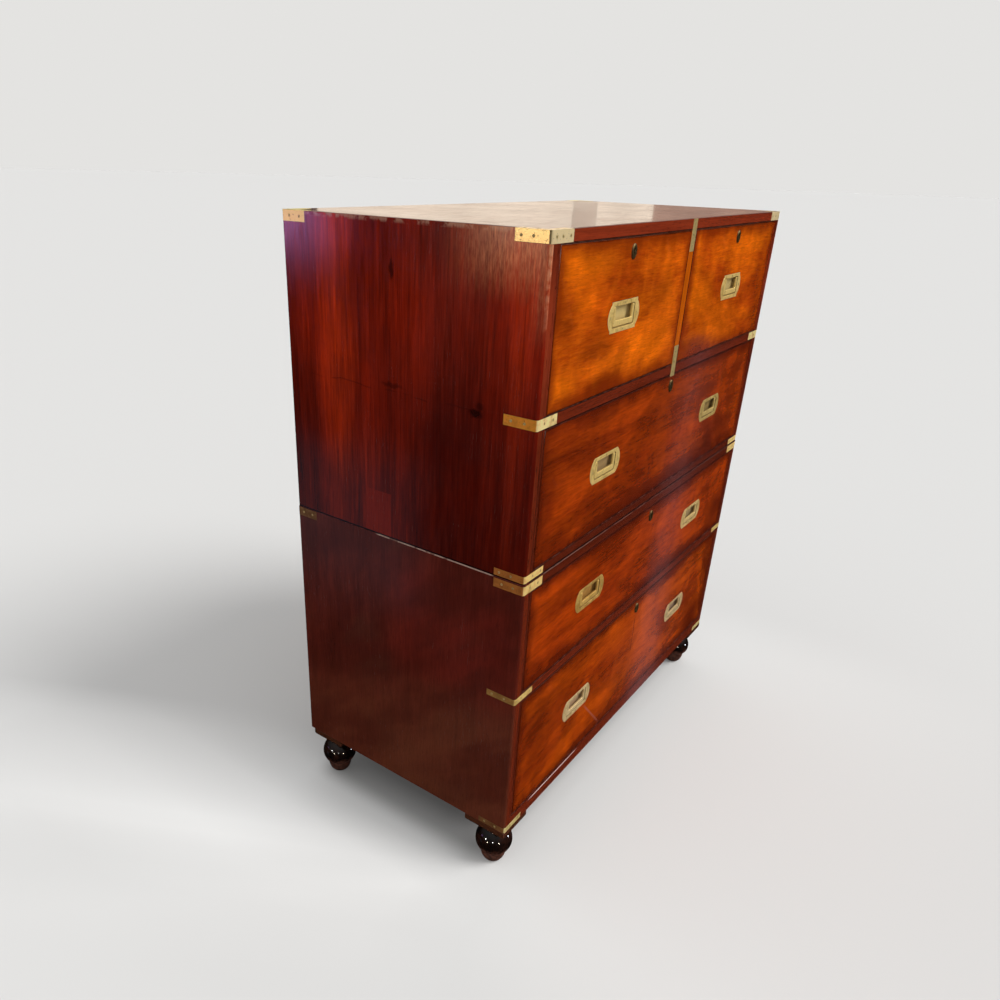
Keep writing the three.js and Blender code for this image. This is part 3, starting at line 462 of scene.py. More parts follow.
def upper_side_paint(t, where, colour, stops, dark, red):
    """The upper left side: stripes at their places across it, knots, a crease and a let-in repair, a worn top
    edge with a painted highlight, a painted reflection of a warm glow near the front top, and a painted
    highlight on the front arris.
    """
    x, y, z = t.split(where)
    drift = t.noise(where * (1.0, 1.0, 0.22), 14.0, 3.0, 0.6)
    place = (drift - 0.5) * 0.032 + (0.25 - y)
    stripes = t.ramp(place * 2.0, [(2.0 * at, tone) for at, tone in stops])
    colour = t.blend(t.ease(z, 0.66, 0.86, 0.35, 1.0) * 0.8, colour, stripes)
    ends = t.ramp(t.remap(z, 0.636, 1.15), [(0.0, 0.42), (0.17, 0.5), (0.43, 0.75), (0.7, 1.05), (1.0, 1.05)])
    colour = t.blend(1.0, colour, ends, "MULTIPLY")
    broad = t.noise(where * (1.0, 1.0, 0.045), 48.0, 3.0, 0.6)
    narrow = t.noise(where * (1.0, 1.0, 0.05), 190.0, 3.0, 0.6)
    lines = t.remap(broad, 0.35, 0.65, 0.75, 1.25) * t.remap(narrow, 0.35, 0.65, 0.78, 1.22)
    colour = t.shade(colour, t.remap(t.noise(where, 6.0, 3.0), 0.35, 0.6, 0.72, 1.08) * lines)
    dim = t.ease(y, 0.02, -0.08, 0.0, 0.45) * t.ease(z, 0.95, 0.82, 0.0, 1.0)
    colour = t.blend(dim, colour, darker(dark, 0.35))
    jitter = t.wander(where, 90.0, 0.01)
    for centre_y, centre_z, wide, tall, depth in SIDE_KNOTS:
        dy = (y - centre_y + jitter) / wide
        dz = (z - centre_z + jitter) / tall
        reach = t.sums("SQRT", dy * dy + dz * dz)
        colour = t.blend(t.ease(reach, 0.35, 1.0, depth, 0.0), colour, darker(dark, 0.12))
    crease = t.window(z - 0.895 + t.wander(where, 12.0, 0.02), -0.0006, 0.0006, 0.001)
    crease = crease * t.window(y, -0.15, 0.19, 0.03) * t.remap(t.noise(where, 35.0), 0.42, 0.55)
    colour = t.blend(crease * 0.4, colour, darker(dark, 0.3))
    patch = t.window(y, 0.022, 0.078, 0.001) * t.window(z, 0.6, 0.717, 0.001)
    colour = t.blend(patch * 0.7, colour, darker(red, 0.8))
    colour = t.blend(t.window(z, 0.6, 0.638, 0.0016), colour, darker(dark, 0.1))
    # Worn top edge, lightened partly as wear and partly as a painted highlight along the arris
    worn = t.remap(z, 1.1425, 1.147) * t.remap(t.noise(where, 70.0, 3.0), 0.45, 0.55)
    colour = t.blend(worn * 0.75, colour, WORN_EDGE_HIGHLIGHT)
    # Painted reflection: a warm lamp's glow near the front top and down the front edge, as streaky flecks
    flecks = t.noise(where * (1.0, 1.0, 0.16), 380.0, 3.0, 0.65)
    near_top = t.ease(y, -0.06, -0.2) * t.ease(z, 1.045, 1.13)
    near_edge = t.ease(y, -0.215, -0.243) * t.ease(z, 0.98, 1.12)
    glow_reflection = t.sums("MAXIMUM", near_top, near_edge * 0.8) * t.remap(flecks, 0.35, 0.65, 0.12, 0.65)
    colour = t.blend(glow_reflection, colour, GLOW_REFLECTION)
    # Painted highlight along the front arris, stronger towards the top
    arris_highlight = t.remap(y, -0.2445, -0.2465) * t.remap(z, 1.0, 1.12)
    return t.blend(arris_highlight * t.remap(t.noise(where, 90.0, 3.0), 0.4, 0.56, 0.05, 0.5), colour, ARRIS_HIGHLIGHT)


def lower_side_paint(t, where, colour, dark):
    """A lower side: broad soft clouds, a redder flame, lighter low down, and a pale worn line along the joint
    with a painted highlight.
    """
    x, y, z = t.split(where)
    turned = t.turned(where, (0.7, 0.0, 0.0))
    clouds = t.noise(turned * (1.0, 0.5, 1.4), 8.0, 3.0, 0.55)
    colour = t.blend(t.ease(clouds, 0.36, 0.62, 0.1, 0.55), colour, dark)
    grey = t.noise(turned * (1.0, 0.6, 1.6), 5.0, 3.0, 0.5)
    colour = t.blend(t.ease(grey, 0.45, 0.66, 0.0, 0.6), colour, OLIVE_BROWN)
    low_part = t.ease(y * 0.3 + z, 0.22, 0.42, 1.0, 0.0)
    colour = t.blend(low_part * t.remap(clouds, 0.35, 0.6, 0.75, 0.3), colour, LOW_BROWN)
    flame = t.window(z, 0.42, 0.56, 0.07) * t.window(y, -0.2, -0.02, 0.08)
    colour = t.blend(flame * t.remap(clouds, 0.3, 0.6, 0.6, 0.1), colour, FLAME_RED)
    # Pale worn line with a painted highlight along the lower case's top arris
    ledge_highlight = t.remap(z, 0.6338, 0.6352) * t.window(y, -0.185, 0.05, 0.01)
    return t.blend(ledge_highlight * t.remap(t.noise(where, 50.0, 3.0), 0.4, 0.5, 0.25, 1.0), colour, LEDGE_HIGHLIGHT)


def stile_paint(t, where, colour, dark, light):
    """The front edges of the sides: a painted dark reflection along the rounded corner, lighter along the
    middle, with dark specks.
    """
    x, y, z = t.split(where)
    across = abs(x)
    colour = t.blend(t.window(across, 0.4755, 0.4825, 0.004) * 0.5, colour, light)
    # Painted dark reflection along the rounded corner next to the side
    colour = t.blend(t.remap(across, 0.4845, 0.4875) * 0.8, colour, darker(dark, 0.4))
    specks = t.remap(t.noise(where * (1.0, 1.0, 0.25), 240.0, 2.0), 0.62, 0.7)
    colour = t.blend(specks * 0.5, colour, darker(dark, 0.3))
    low_part = t.ramp(z, [(0.0, 0.6), (0.85, 0.6), (1.0, 1.0)])
    return t.shade(colour, low_part * t.remap(z, 1.06, 1.12, 1.0, 0.6))


def top_paint(t, where, colour, worn):
    """The top board: its left and front borders are rubbed dull."""
    x, y, z = t.split(where)
    wander = t.wander(where, 30.0, 0.012)
    left = t.ease(x + wander, -0.484, -0.474, 1.0, 0.0)
    front = t.ease(y + wander, -0.246, -0.24, 1.0, 0.0)
    dull = t.sums("MAXIMUM", left, front)
    return t.blend(dull * 0.7, colour, worn), dull


def rail_paint(t, where, colour, dark):
    """Rails and joint boards: dark lines at the joint, painted shadow lines where drawers and boards meet
    them, a pale worn line with a painted highlight along the joint, and a painted highlight on the lowest
    rail.
    """
    x, y, z = t.split(where)
    # Pale worn line with a painted highlight along the joint between the cases
    joint = t.window(z, 0.6345, 0.6352, 0.0006) * t.remap(t.noise(where, 20.0, 3.0), 0.4, 0.52, 0.1, 0.8)
    joint = joint * t.ramp(x + 0.5, [(0.065, 0.0), (0.075, 1.0), (0.55, 0.25)])
    colour = t.blend(joint, colour, JOINT_HIGHLIGHT)
    glint = t.window(z, 0.1375, 0.139, 0.0008) * t.window(x, -0.385, -0.24, 0.03)
    colour = t.blend(glint, colour, GLINT)
    in_front = t.remap(y, -0.2475, -0.2465, 1.0, 0.0)
    colour = t.blend(t.window(z, 0.6357, 0.638, 0.0006) * in_front, colour, darker(dark, 0.1))
    tone = t.remap(z, 1.13, 1.134) * 0.6 + (t.window(z, 0.617, 0.655, 0.001) * -0.3 + 1.0)
    colour = t.shade(colour, t.remap(z, 0.1, 0.145, 0.15, 0.0) + tone)
    # Painted shadow where the drawers and boards meet the rails
    for seam in SEAM_SHADOWS:
        line = t.window(z, seam - 0.0012, seam + 0.0012, 0.0008) * in_front
        colour = t.blend(line, colour, darker(dark, 0.15))
    block = t.remap(z, 0.1145, 0.1165, 1.0, 0.0) * t.remap(abs(x), 0.4, 0.41)
    return t.blend(block * 0.85, colour, BLOCK_BROWN)


def front_paint(t, where, colour, amber, russet, ripple_depth, streak_depth, seed, clouds, marks):
    """Clouds, cross-grain ripple and long dark streaks of a drawer front."""
    x, y, z = t.split(where)
    moved = where + (seed * 3.7, 0.0, seed * 1.9)
    mist = t.noise(moved * (0.45, 1.0, 1.0), 12.0, 4.0, 0.6, 0.5)
    colour = t.blend(t.ease(mist, 0.38, 0.62, 0.0, 0.65), colour, russet)
    flames = t.noise(moved * (0.8, 1.0, 0.45), 9.0, 3.0, 0.5, 1.0)
    colour = t.blend(t.ease(flames, 0.5, 0.68, 0.0, 0.6), colour, amber)
    ragged = (t.noise(moved, 16.0, 4.0, 0.6) - 0.5) * 1.2
    for across, height, half_width, half_height, gain in clouds:
        reach = t.away(x, z, (across * MM, height * MM), (half_width * MM, half_height * MM))
        spot = t.ease(reach + ragged, 0.2, 1.5, min(1.0, 1.3 * abs(gain)), 0.0)
        colour = t.blend(spot, colour, amber if gain > 0 else darker(russet, 0.5))
    ripple = t.noise(moved * (1.0, 1.0, 0.2), 48.0, 2.0, 0.5, 0.3)
    colour = t.shade(colour, t.remap(ripple, 0.38, 0.62, 1.0 - 0.5 * ripple_depth, 1.0 + 0.25 * ripple_depth))
    streak = t.noise(moved * (0.05, 1.0, 1.0), 70.0, 3.0, 0.6, 0.05)
    streak = t.ease(streak, 0.5, 0.68, 0.0, 0.7 * streak_depth)
    colour = t.blend(streak, colour, darker(russet, 0.4))
    swirl = t.noise(moved * (0.6, 1.0, 1.0), 7.0, 5.0, 0.55, 1.6)
    flecks = t.noise(moved * (0.13, 1.0, 1.0), 300.0, 3.0, 0.65)
    swirl = t.ease(swirl, 0.38, 0.62, 0.74, 1.12) * t.remap(flecks, 0.35, 0.65, 0.84, 1.13)
    colour = t.shade(colour, swirl)
    return marks(t, where, colour) if marks else colour


def bottom_front_marks(t, where, colour):
    """The hairline crack and the pale rub on the bottom drawer."""
    x, y, z = t.split(where)
    crack = t.window(x + t.wander(where, 30.0, 0.008), 0.0015, 0.0023, 0.0008)
    colour = t.blend(crack * t.window(z, 0.275, 0.352, 0.004) * 0.85, colour, CRACK_BLACK)
    along = (x + 0.198) * 1.075 + (z - 0.233)
    rub = t.window(along, -0.002, 0.002, 0.003) * t.window(x, -0.195, -0.11, 0.02)
    return t.blend(rub * 0.16, colour, PALE_RUB)


def bare_wood(name, seed, grain, colour, box=None):
    """Plain dry wood, darkened in a line round the box of its board when one is given."""
    material, t, shader, where = new_material(name)
    figure = t.use(mahogany_figure, Vector=t.turned(where, GRAIN_TURN[grain]), Seed=seed, Stripe_Width=0.02,
                   Stripe_Length=14.0, Waviness=0.02)
    marks = t.use(handled_wear, Vector=where, Seed=seed)
    shown = t.blend(t.remap(figure["Figure"], 0.4, 0.6), darker(colour, 0.55), colour)
    shown = t.blend(t.remap(marks["Haze"], 0.5, 0.75, 0.0, 0.5), shown, darker(colour, 0.35))
    shown = t.blend(figure["Pores"] * 0.4, shown, darker(colour, 0.3))
    if box:
        low, high = box
        for reach, depth in ((0.003, 0.75), (0.03, 0.3)):
            shade = t.use(border_shade, Vector=where, Low=(low.x, low.y - 1.0, low.z),
                          High=(high.x, high.y + 1.0, high.z), Reach=reach)["Shade"]
            shown = t.blend(shade * depth, shown, darker(colour, 0.2))
    finish(t, shader, shown, t.remap(figure["Fibres"], 0.3, 0.7, 0.6, 0.8), figure["Relief"], 0.4, 0.0003)
    return material


def brass(name, seed, age, metal=0.8, roughness=0.32, warmth=(1.0, 1.0, 1.0), side_leg_light=None, pan=None):
    """Aged brass. A strap's side leg is given as (front plane, tint behind it), the tint being painted light;
    pan is a handle's (middle, front plane, tint), the tint being partly brass tone and partly painted light
    on the pan's floor, with a painted shadow of the bail's arms at the pan's ends.
    """
    settings = bpy.context.scene.chest_brass
    material, t, shader, where = new_material(name)
    polished, tarnished = ((*(c * w for c, w in zip(tone, warmth)), 1.0)
                           for tone in (settings.polished, settings.tarnished))
    patina = t.use(brass_patina, Vector=where, Seed=seed, Age=age, Polished=polished, Tarnished=tarnished,
                   Grime=(*settings.grime, 1.0))
    dirt_and_shade = t.attribute("grime") * t.remap(t.noise(where, 160.0, 3.0), 0.25, 0.6, 0.55, 1.0)
    colour = patina["Colour"]
    x, y, z = t.split(where)
    # Painted light: the side leg behind the front plane takes its own tint, mostly a painted shade
    if side_leg_light:
        behind = t.remap(y, side_leg_light[0] + 1.2 * MM, side_leg_light[0] + 2.4 * MM)
        colour = t.blend(behind, colour, t.blend(1.0, colour, side_leg_light[1], "MULTIPLY"))
        metal = t.remap(behind, 0.0, 1.0, 0.4, metal)
        roughness = t.remap(behind, 0.0, 1.0, 0.3, roughness)
    # Painted shadow of the bail's arms at the pan's ends, and the pan's floor tinted, partly brass tone and
    # partly painted light
    if pan:
        deep = t.remap(y, pan[1] + 4 * MM, pan[1] + 7 * MM)
        ends = t.remap(abs(x - pan[0]), PAN_ARM_SHADOW - 0.6 * MM, PAN_ARM_SHADOW)
        dirt_and_shade = t.sums("MAXIMUM", dirt_and_shade, deep * ends * 0.45)
        colour = t.blend(deep * (1.0 - ends), colour, tuple(p * w for p, w in zip(settings.polished, pan[2])))
    t.feed(shader.inputs["Metallic"], t.remap(dirt_and_shade, 0.0, 1.0, 1.0, 0.2) * metal)
    rough = t.sums("ADD", patina["Tarnish"] * 0.18 + roughness, dirt_and_shade * 0.2, clamp=True)
    finish(t, shader, t.blend(dirt_and_shade, colour, tuple(settings.grime)), rough, patina["Relief"], 0.3, 0.0003)
    return material


def ebonised(name):
    """Glossy black turning, worn through to brown at the toe."""
    material, t, shader, where = new_material(name)
    x, y, z = t.split(where)
    marks = t.use(handled_wear, Vector=where, Seed=4.0)
    toe = t.ease(z + t.wander(where, 70.0, 0.02), 0.034, 0.05, 1.0, 0.0)
    wood = t.blend(t.remap(t.noise(where, 110.0, 3.0), 0.35, 0.65), (0.06, 0.02, 0.012), (0.14, 0.045, 0.026))
    brown = t.remap(t.noise(where, 34.0, 3.0, 0.6), 0.45, 0.65, 0.0, 0.8)
    black = t.blend(brown, (0.006, 0.003, 0.0025), (0.03, 0.01, 0.006))
    finish(t, shader, t.blend(toe, black, wood), t.remap(toe + marks["Scratches"], 0.0, 1.0, 0.1, 0.45),
           marks["Haze"] + toe * t.noise(where, 400.0, 2.0), IOR=1.3)
    return material


def shadowed(name):
    """The dark inside of a keyhole or a bolt's slot."""
    material, t, shader, where = new_material(name)
    finish(t, shader, t.blend(t.noise(where, 300.0), (0.006, 0.004, 0.003), (0.02, 0.012, 0.008)),
           t.remap(t.noise(where, 120.0), 0.3, 0.7, 0.6, 0.85))
    return material


# Meshes
def linked(name, data):
    thing = bpy.data.objects.new(name, data)
    bpy.context.scene.collection.objects.link(thing)
    return thing


def mesh_from(bm, name, smooth=True):
    """The mesh of a bmesh, which is freed."""
    mesh = bpy.data.meshes.new(name)
    bm.to_mesh(mesh)
    bm.free()
    if smooth:
        mesh.shade_smooth()
        mesh.set_sharp_from_angle(angle=SHARP_ANGLE)
    return mesh


def add_piece(name, bm, materials, body, slot, *replaced):
    """Turns a bmesh into a finished piece that rides on a body."""
    bm.normal_update()
    mesh = mesh_from(bm, name)
    piece = linked(name, mesh)
    for material in materials:
        mesh.materials.append(material)
    weighted = piece.modifiers.new("Even shading", "WEIGHTED_NORMAL")
    weighted.keep_sharp = True
    weighted.weight = 100
    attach(piece, body)
    if replaced:
        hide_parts(*replaced)


def middle_of(node):
    low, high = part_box(node)
    return (low + high) / 2


def merged_copy(node):
    bm = bmesh.new()
    bm.from_mesh(NODES[node].data)
    bmesh.ops.remove_doubles(bm, verts=bm.verts, dist=WELD)
    bmesh.ops.dissolve_limit(bm, angle_limit=FLAT_ANGLE, verts=bm.verts, edges=bm.edges)
    return bm


def round_edges(bm, choose, radius, mark, value=1.0):
    """Rounds the chosen edges and marks the new faces for the material."""
    layer = bm.faces.layers.float.new(mark)
    bm.normal_update()
    made = bmesh.ops.bevel(bm, geom=choose(bm), offset=radius, segments=2, profile=0.5, affect="EDGES",
                           clamp_overlap=False)
    for face in made["faces"]:
        if face.is_valid:
            face[layer] = value


def mark_grime_and_shade(bm, chosen, value):
    """Marks the chosen vertices for the brass's dirt and painted shade, in a share of the full amount."""
    layer = bm.verts.layers.float.new("grime")
    for vert in bm.verts:
        if chosen(vert):
            vert[layer] = value


def sharp_edges(bm):
    return [e for e in bm.edges if e.is_manifold and e.calc_face_angle() > ARRIS_ANGLE and e.is_convex]


def on_plane(face, axis, value):
    return abs(face.normal[axis]) > 0.99 and all(abs(v.co[axis] - value) < 0.05 * MM for v in face.verts)


STRAP_BOXES = [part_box(node) for node in NODES if node.startswith("strap_")]
BED_MARGIN = 0.3 * MM


def in_strap_bed(edge):
    """True for the edges of the beds that the straps lie in, which stay sharp."""
    return any(
        all(low[i] - BED_MARGIN < v.co[i] < high[i] + BED_MARGIN for v in edge.verts for i in range(3))
        for low, high in STRAP_BOXES
    )


def outer_edges(bm, planes, shortest=1.2 * MM):
    """Sharp edges with a face in one of the planes, which are (axis, value) pairs."""
    outer = {f for f in bm.faces if any(on_plane(f, axis, value) for axis, value in planes)}
    return [e for e in sharp_edges(bm)
            if outer & set(e.link_faces) and e.calc_length() > shortest and not in_strap_bed(e)]


def skin(bm, loops, capped=False):
    """Walls between rings with the same number of points, and their caps."""
    rings = [[bm.verts.new(p) for p in loop] for loop in loops]
    for lower, upper in zip(rings, rings[1:]):
        for i in range(len(lower)):
            j = (i + 1) % len(lower)
            bm.faces.new((lower[i], lower[j], upper[j], upper[i]))
    if capped:
        bm.faces.new(rings[0][::-1])
        bm.faces.new(rings[-1])
    return rings


def fill_between(bm, *rings):
    edges = [bm.edges.get((ring[i], ring[i - 1])) for ring in rings for i in range(len(ring))]
    bmesh.ops.triangle_fill(bm, use_beauty=True, edges=edges)


def at_height(outline, w):
    return [Vector((p[0], p[1], w)) for p in outline]


def inset(outline, distance):
    """Moves the sides of a counter-clockwise outline inwards, or outwards for a negative distance."""
    moved = []
    count = len(outline)
    for i in range(count):
        before, here, after = (Vector(outline[(i + step) % count][:2]) for step in (-1, 0, 1))
        first = (here - before).normalized()
        second = (after - here).normalized()
        n1 = Vector((-first.y, first.x))
        n2 = Vector((-second.y, second.x))
        moved.append(here + (n1 + n2) * (distance / max(0.2, 1.0 + n1.dot(n2))))
    return moved


def quarter_turns(steps):
    return [0.5 * math.pi * step / steps for step in range(steps + 1)]


def rounded_edge(outline, top, radius, steps=3):
    """Rings of an outline whose upper edge is rounded, from the wall to the flat."""
    return [at_height(inset(outline, radius * (1 - math.cos(a))), top - radius * (1 - math.sin(a)))
            for a in quarter_turns(steps)]


def arc(centre, radius, start, end, steps):
    turns = (start + (end - start) * i / steps for i in range(steps + 1))
    return [Vector((centre[0] + radius * math.cos(a), centre[1] + radius * math.sin(a))) for a in turns]


def rounded_rectangle(width, height, radius, steps=6):
    u, v = width / 2 - radius, height / 2 - radius
    points = []
    for su, sv, start in ((1, -1, -0.5), (1, 1, 0.0), (-1, 1, 0.5), (-1, -1, 1.0)):
        points += arc((su * u, sv * v), radius, start * math.pi, (start + 0.5) * math.pi, steps)
    return points


def slab(bm, outline, base, top, radius, steps=3):
    """A plate with a rounded upper edge."""
    skin(bm, [at_height(outline, base)] + rounded_edge(outline, top, radius, steps), capped=True)
    return bm


def pierced_slab(bm, outline, hole, base, top, radius):
    """A plate with a hole through it and rounded upper edges."""
    outer = skin(bm, [at_height(outline, base)] + rounded_edge(outline, top, radius))
    inner = skin(bm, [at_height(hole[::-1], base), at_height(hole[::-1], top)])
    fill_between(bm, outer[-1], inner[-1])
    fill_between(bm, outer[0], inner[0])
    bmesh.ops.recalc_face_normals(bm, faces=bm.faces)
    return bm


def stand(bm, facing, *place):
    """Turns a bmesh drawn flat (right, up, out) to face a side of the chest, and moves it there."""
    bm.transform(Matrix.Translation(place) @ FACING[facing].to_4x4())
    return bm


def lathe(bm, profile, segments, place):
    """Turns a profile of (radius, height) pairs that starts and ends on the axis."""
    rings = []
    for radius, height in profile:
        turns = [2 * math.pi * i / segments for i in range(segments if radius > 0.0 else 1)]
        spots = (Vector((radius * math.cos(a), radius * math.sin(a), height)) for a in turns)
        rings.append([bm.verts.new(Vector(place) + spot) for spot in spots])
    for lower, upper in zip(rings, rings[1:]):
        for i in range(segments):
            j = (i + 1) % segments
            corners = [ring[k % len(ring)] for ring, k in ((lower, i), (lower, j), (upper, j), (upper, i))]
            bm.faces.new(list(dict.fromkeys(corners)))
    return bm


# The cases
def case_planes(node):
    """The outer planes of the case that a board belongs to."""
    low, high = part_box(node)
    planes = [(1, low.y), (0, low.x), (0, high.x)]
    if node.startswith(("upper_side", "lower_side", "top_board", "lower_bottom_board", "lower_top_board")):
        planes.append((1, high.y))
    if node in ("top_board", "lower_top_board") or "side" in node:
        planes.append((2, high.z))
    return planes


class CHEST_OT_cases(bpy.types.Operator):
    """Both cases: sides, top, rails, divider and backs, with worn arrises"""

    bl_idname = "chest.cases"
    bl_label = "Cases"

    def execute(self, context):
        s = context.scene.chest_timber
        dark, red, glow, lower, stile, top, lining = (
            tuple(c) for c in (s.side_dark, s.side_red, s.side_glow, s.lower_red, s.stile, s.top, s.lining))
        ember = mixed(red, glow, 0.55)
        deep = darker(red, 0.82)
        dusky = mixed(dark, red, 0.5)
        # Stripes of the left side, by distance from its back edge in metres
        stops = [(0.0, deep), (0.045, deep), (0.065, red), (0.088, ember), (0.112, glow), (0.135, ember),
                 (0.158, deep), (0.21, red), (0.262, red), (0.288, dusky), (0.312, dark), (0.385, dark),
                 (0.412, deep), (0.437, red), (0.462, ember), (0.49, red)]
        side = timber("Upper side mahogany", 2.0, "up", darker(dark, 0.7), red, ember, 0.018, 16.0, 0.012,
                      0.8, s.polish, 0.05, 0.15, paint=(upper_side_paint, stops, dark, red), gloss=SIDE_GLOSS)
        side_right = timber("Upper right side mahogany", 9.0, "up", dark, red, ember, 0.018, 16.0, 0.012,
                            0.75, s.polish, 0.05, gloss=SIDE_GLOSS)
        lower_side = timber("Lower side mahogany", 5.0, "up", darker(lower, 0.55), lower, darker(lower, 1.4),
                            0.02, 12.0, 0.02, 0.5, s.polish, 0.05, 0.2,
                            paint=(lower_side_paint, darker(lower, 0.45)), gloss=SIDE_GLOSS)
        stile_dark, stile_light = darker(stile, 0.45), darker(stile, 1.7)
        upright = timber("Stile mahogany", 3.0, "up", stile_dark, stile, stile_light, 0.006, 30.0, 0.002, 0.6,
                         0.8 * s.polish, 0.15, 0.1, paint=(stile_paint, stile_dark, stile_light))
        rail = timber("Rail mahogany", 6.0, "across", darker(stile, 0.5), darker(stile, 0.85), stile, 0.008,
                      30.0, 0.003, 0.5, 0.7 * s.polish, 0.15, 0.5, paint=(rail_paint, stile_dark))
        amber = darker(tuple(s.front_amber), 0.8)
        divider = timber("Divider mahogany", 4.0, "up", darker(amber, 0.5), darker(amber, 0.8), amber, 0.01,
                         14.0, 0.004, 0.5, s.polish, 0.3, 0.1)
        top_wood = timber("Top mahogany", 7.0, "across", darker(top, 0.5), top, darker(top, 1.5), 0.03, 8.0,
                          0.02, 0.6, 0.11, 0.5, 0.6, paint=(top_paint, darker(top, 0.8)))
        plans = {
            "upper_side_left": (side, upright), "upper_side_right": (side_right, upright),
            "lower_side_left": (lower_side, upright), "lower_side_right": (lower_side, upright),
            "top_board": (top_wood, rail),
        }
        for node in ("upper_rail", "lower_rail", "upper_bottom_board", "lower_top_board",
                     "lower_bottom_board"):
            plans[node] = (rail, rail)
        plans["drawer_divider"] = (divider, divider)
        for node, seed in (("upper_back", 8.0), ("lower_back", 8.6)):
            plans[node] = (bare_wood(f"{node} deal", seed, "up", lining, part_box(node)),) * 2
        for node, woods in plans.items():
            bm = merged_copy(node)
            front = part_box(node)[0].y
            for face in bm.faces:
                if on_plane(face, 1, front):
                    face.material_index = 1
            shortest = 3 * MM if node == "top_board" else 1.2 * MM
            round_edges(bm, lambda b: outer_edges(b, case_planes(node), shortest), s.arris, "arris")
            slot = "drawer_lining" if node.endswith("_back") else "case_mahogany"
            add_piece(f"{node}_finished", bm, woods, BODY_OF[node], slot, node)
        return {"FINISHED"}


# The drawers
# Shares of red and green in the light and in the dark figure, depth of the ripple and of the dark
# streaks, seed, and marks of their own
FRONTS = {
    "short_drawer_left": ((1.0, 1.0), (1.0, 1.0), 0.12, 0.12, 1.0, None),
    "short_drawer_right": ((1.0, 1.0), (1.0, 0.9), 0.14, 0.15, 2.0, None),
    "second_drawer": ((0.54, 0.36), (0.5, 0.42), 0.08, 0.42, 3.0, None),
    "third_drawer": ((0.6, 0.38), (0.5, 0.42), 0.08, 0.38, 4.0, None),
    "bottom_drawer": ((0.66, 0.5), (0.56, 0.5), 0.08, 0.3, 5.0, bottom_front_marks),
}
# Clouds of the figure in mm: place across and up, half width, half height, amber (+) or dark (-)
CLOUDS = {
    "short_drawer_left": ((-390, 1105, 90, 30, 0.7), (-433, 934, 40, 26, 0.7), (-190, 955, 100, 40, 0.7),
                          (-304, 918, 80, 22, -0.55), (-425, 1010, 34, 60, -0.45), (-330, 985, 70, 34, -0.5),
                          (-110, 1030, 60, 60, -0.25)),
    "short_drawer_right": ((190, 960, 110, 40, 0.5), (40, 1050, 40, 60, 0.4), (80, 1010, 60, 40, 0.8),
                           (330, 1100, 90, 30, 0.5), (90, 915, 80, 24, -0.5), (420, 980, 40, 60, -0.35)),
    "second_drawer": ((0, 852, 330, 30, 0.5), (-337, 765, 90, 34, 0.4), (60, 668, 300, 26, -0.6),
                      (-445, 800, 26, 90, -0.35), (330, 700, 90, 40, -0.4)),
    "third_drawer": ((-340, 580, 130, 34, 0.5), (-425, 510, 40, 46, 0.35), (60, 550, 80, 30, 0.3),
                     (160, 432, 300, 22, -0.5), (420, 500, 60, 60, -0.35)),
    "bottom_drawer": ((-127, 215, 110, 40, 0.6), (90, 340, 230, 34, 0.4), (-293, 190, 80, 30, 0.35),
                      (400, 190, 70, 60, -0.5), (440, 340, 40, 70, -0.35), (-200, 152, 90, 14, -0.45),
                      (-400, 260, 70, 110, -0.4)),
}
# Reach and depth of the painted shade round a front's edges
FRONT_EDGE_SHADE = (0.03, 0.8)
# Inner faces this near to the middle and to the top of a front are its keyhole and lock slot
KEYHOLE_HALF_WIDTH = 12 * MM
KEYHOLE_DEPTH = 32 * MM


class CHEST_OT_drawers(bpy.types.Operator):
    """The five drawers: figured fronts, and boxes of plain wood"""

    bl_idname = "chest.drawers"
    bl_label = "Drawers"

    def execute(self, context):
        s = context.scene.chest_timber
        dark_hole = shadowed("Keyhole shadow")
        lining = bare_wood("Drawer lining oak", 3.0, "deep", tuple(s.lining))
        for drawer in DRAWERS:
            node = f"{drawer}_front"
            low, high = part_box(node)
            light, depth, ripple, streak, seed, marks = FRONTS[drawer]
            amber, russet = ((tone[0] * part[0], tone[1] * part[1], tone[2])
                             for tone, part in ((s.front_amber, light), (s.front_russet, depth)))
            # Painted shade round the front's edges
            edge = ((low.x, low.y - 1.0, low.z), (high.x, high.y + 1.0, high.z), *FRONT_EDGE_SHADE)
            wood = timber(f"{drawer} front mahogany", seed + 10.0, "across", russet,
                          mixed(russet, amber, 0.6), amber, 0.014, 10.0, 0.02, 0.35, 0.7 * s.polish, 0.1,
                          0.1, border=edge,
                          paint=(front_paint, amber, russet, ripple, streak, seed, CLOUDS[drawer], marks))
            bm = merged_copy(node)
            for face in bm.faces:
                centre = face.calc_center_median()
                across = abs(centre.x - (low.x + high.x) / 2)
                near = across < KEYHOLE_HALF_WIDTH and centre.z > high.z - KEYHOLE_DEPTH
                if near and low.y + 0.1 * MM < centre.y < high.y - 0.1 * MM:
                    face.material_index = 1
            round_edges(bm, lambda b: outer_edges(b, [(1, low.y)], 0.3 * MM), s.arris * 0.8, "arris")
            add_piece(f"{node}_finished", bm, (wood, dark_hole), drawer, "drawer_front_mahogany", node)
            boxed = NODES[f"{drawer}_box"]
            boxed.data.materials.clear()
            boxed.data.materials.append(lining)
        return {"FINISHED"}


# Brass straps
STRAP_LEG = 57 * MM
STRAP_THICKNESS = 1.6 * MM
STRAP_CORNER = 5 * MM
CORNER_STEPS = 10
SIDES = {"left": -1, "right": 1}


def strap_arcs(corner):
    """The round outer and inner corner of a strap, from its first leg to its second."""
    return (arc((corner, corner), radius, 1.5 * math.pi, math.pi, CORNER_STEPS)
            for radius in (corner, corner - STRAP_THICKNESS))


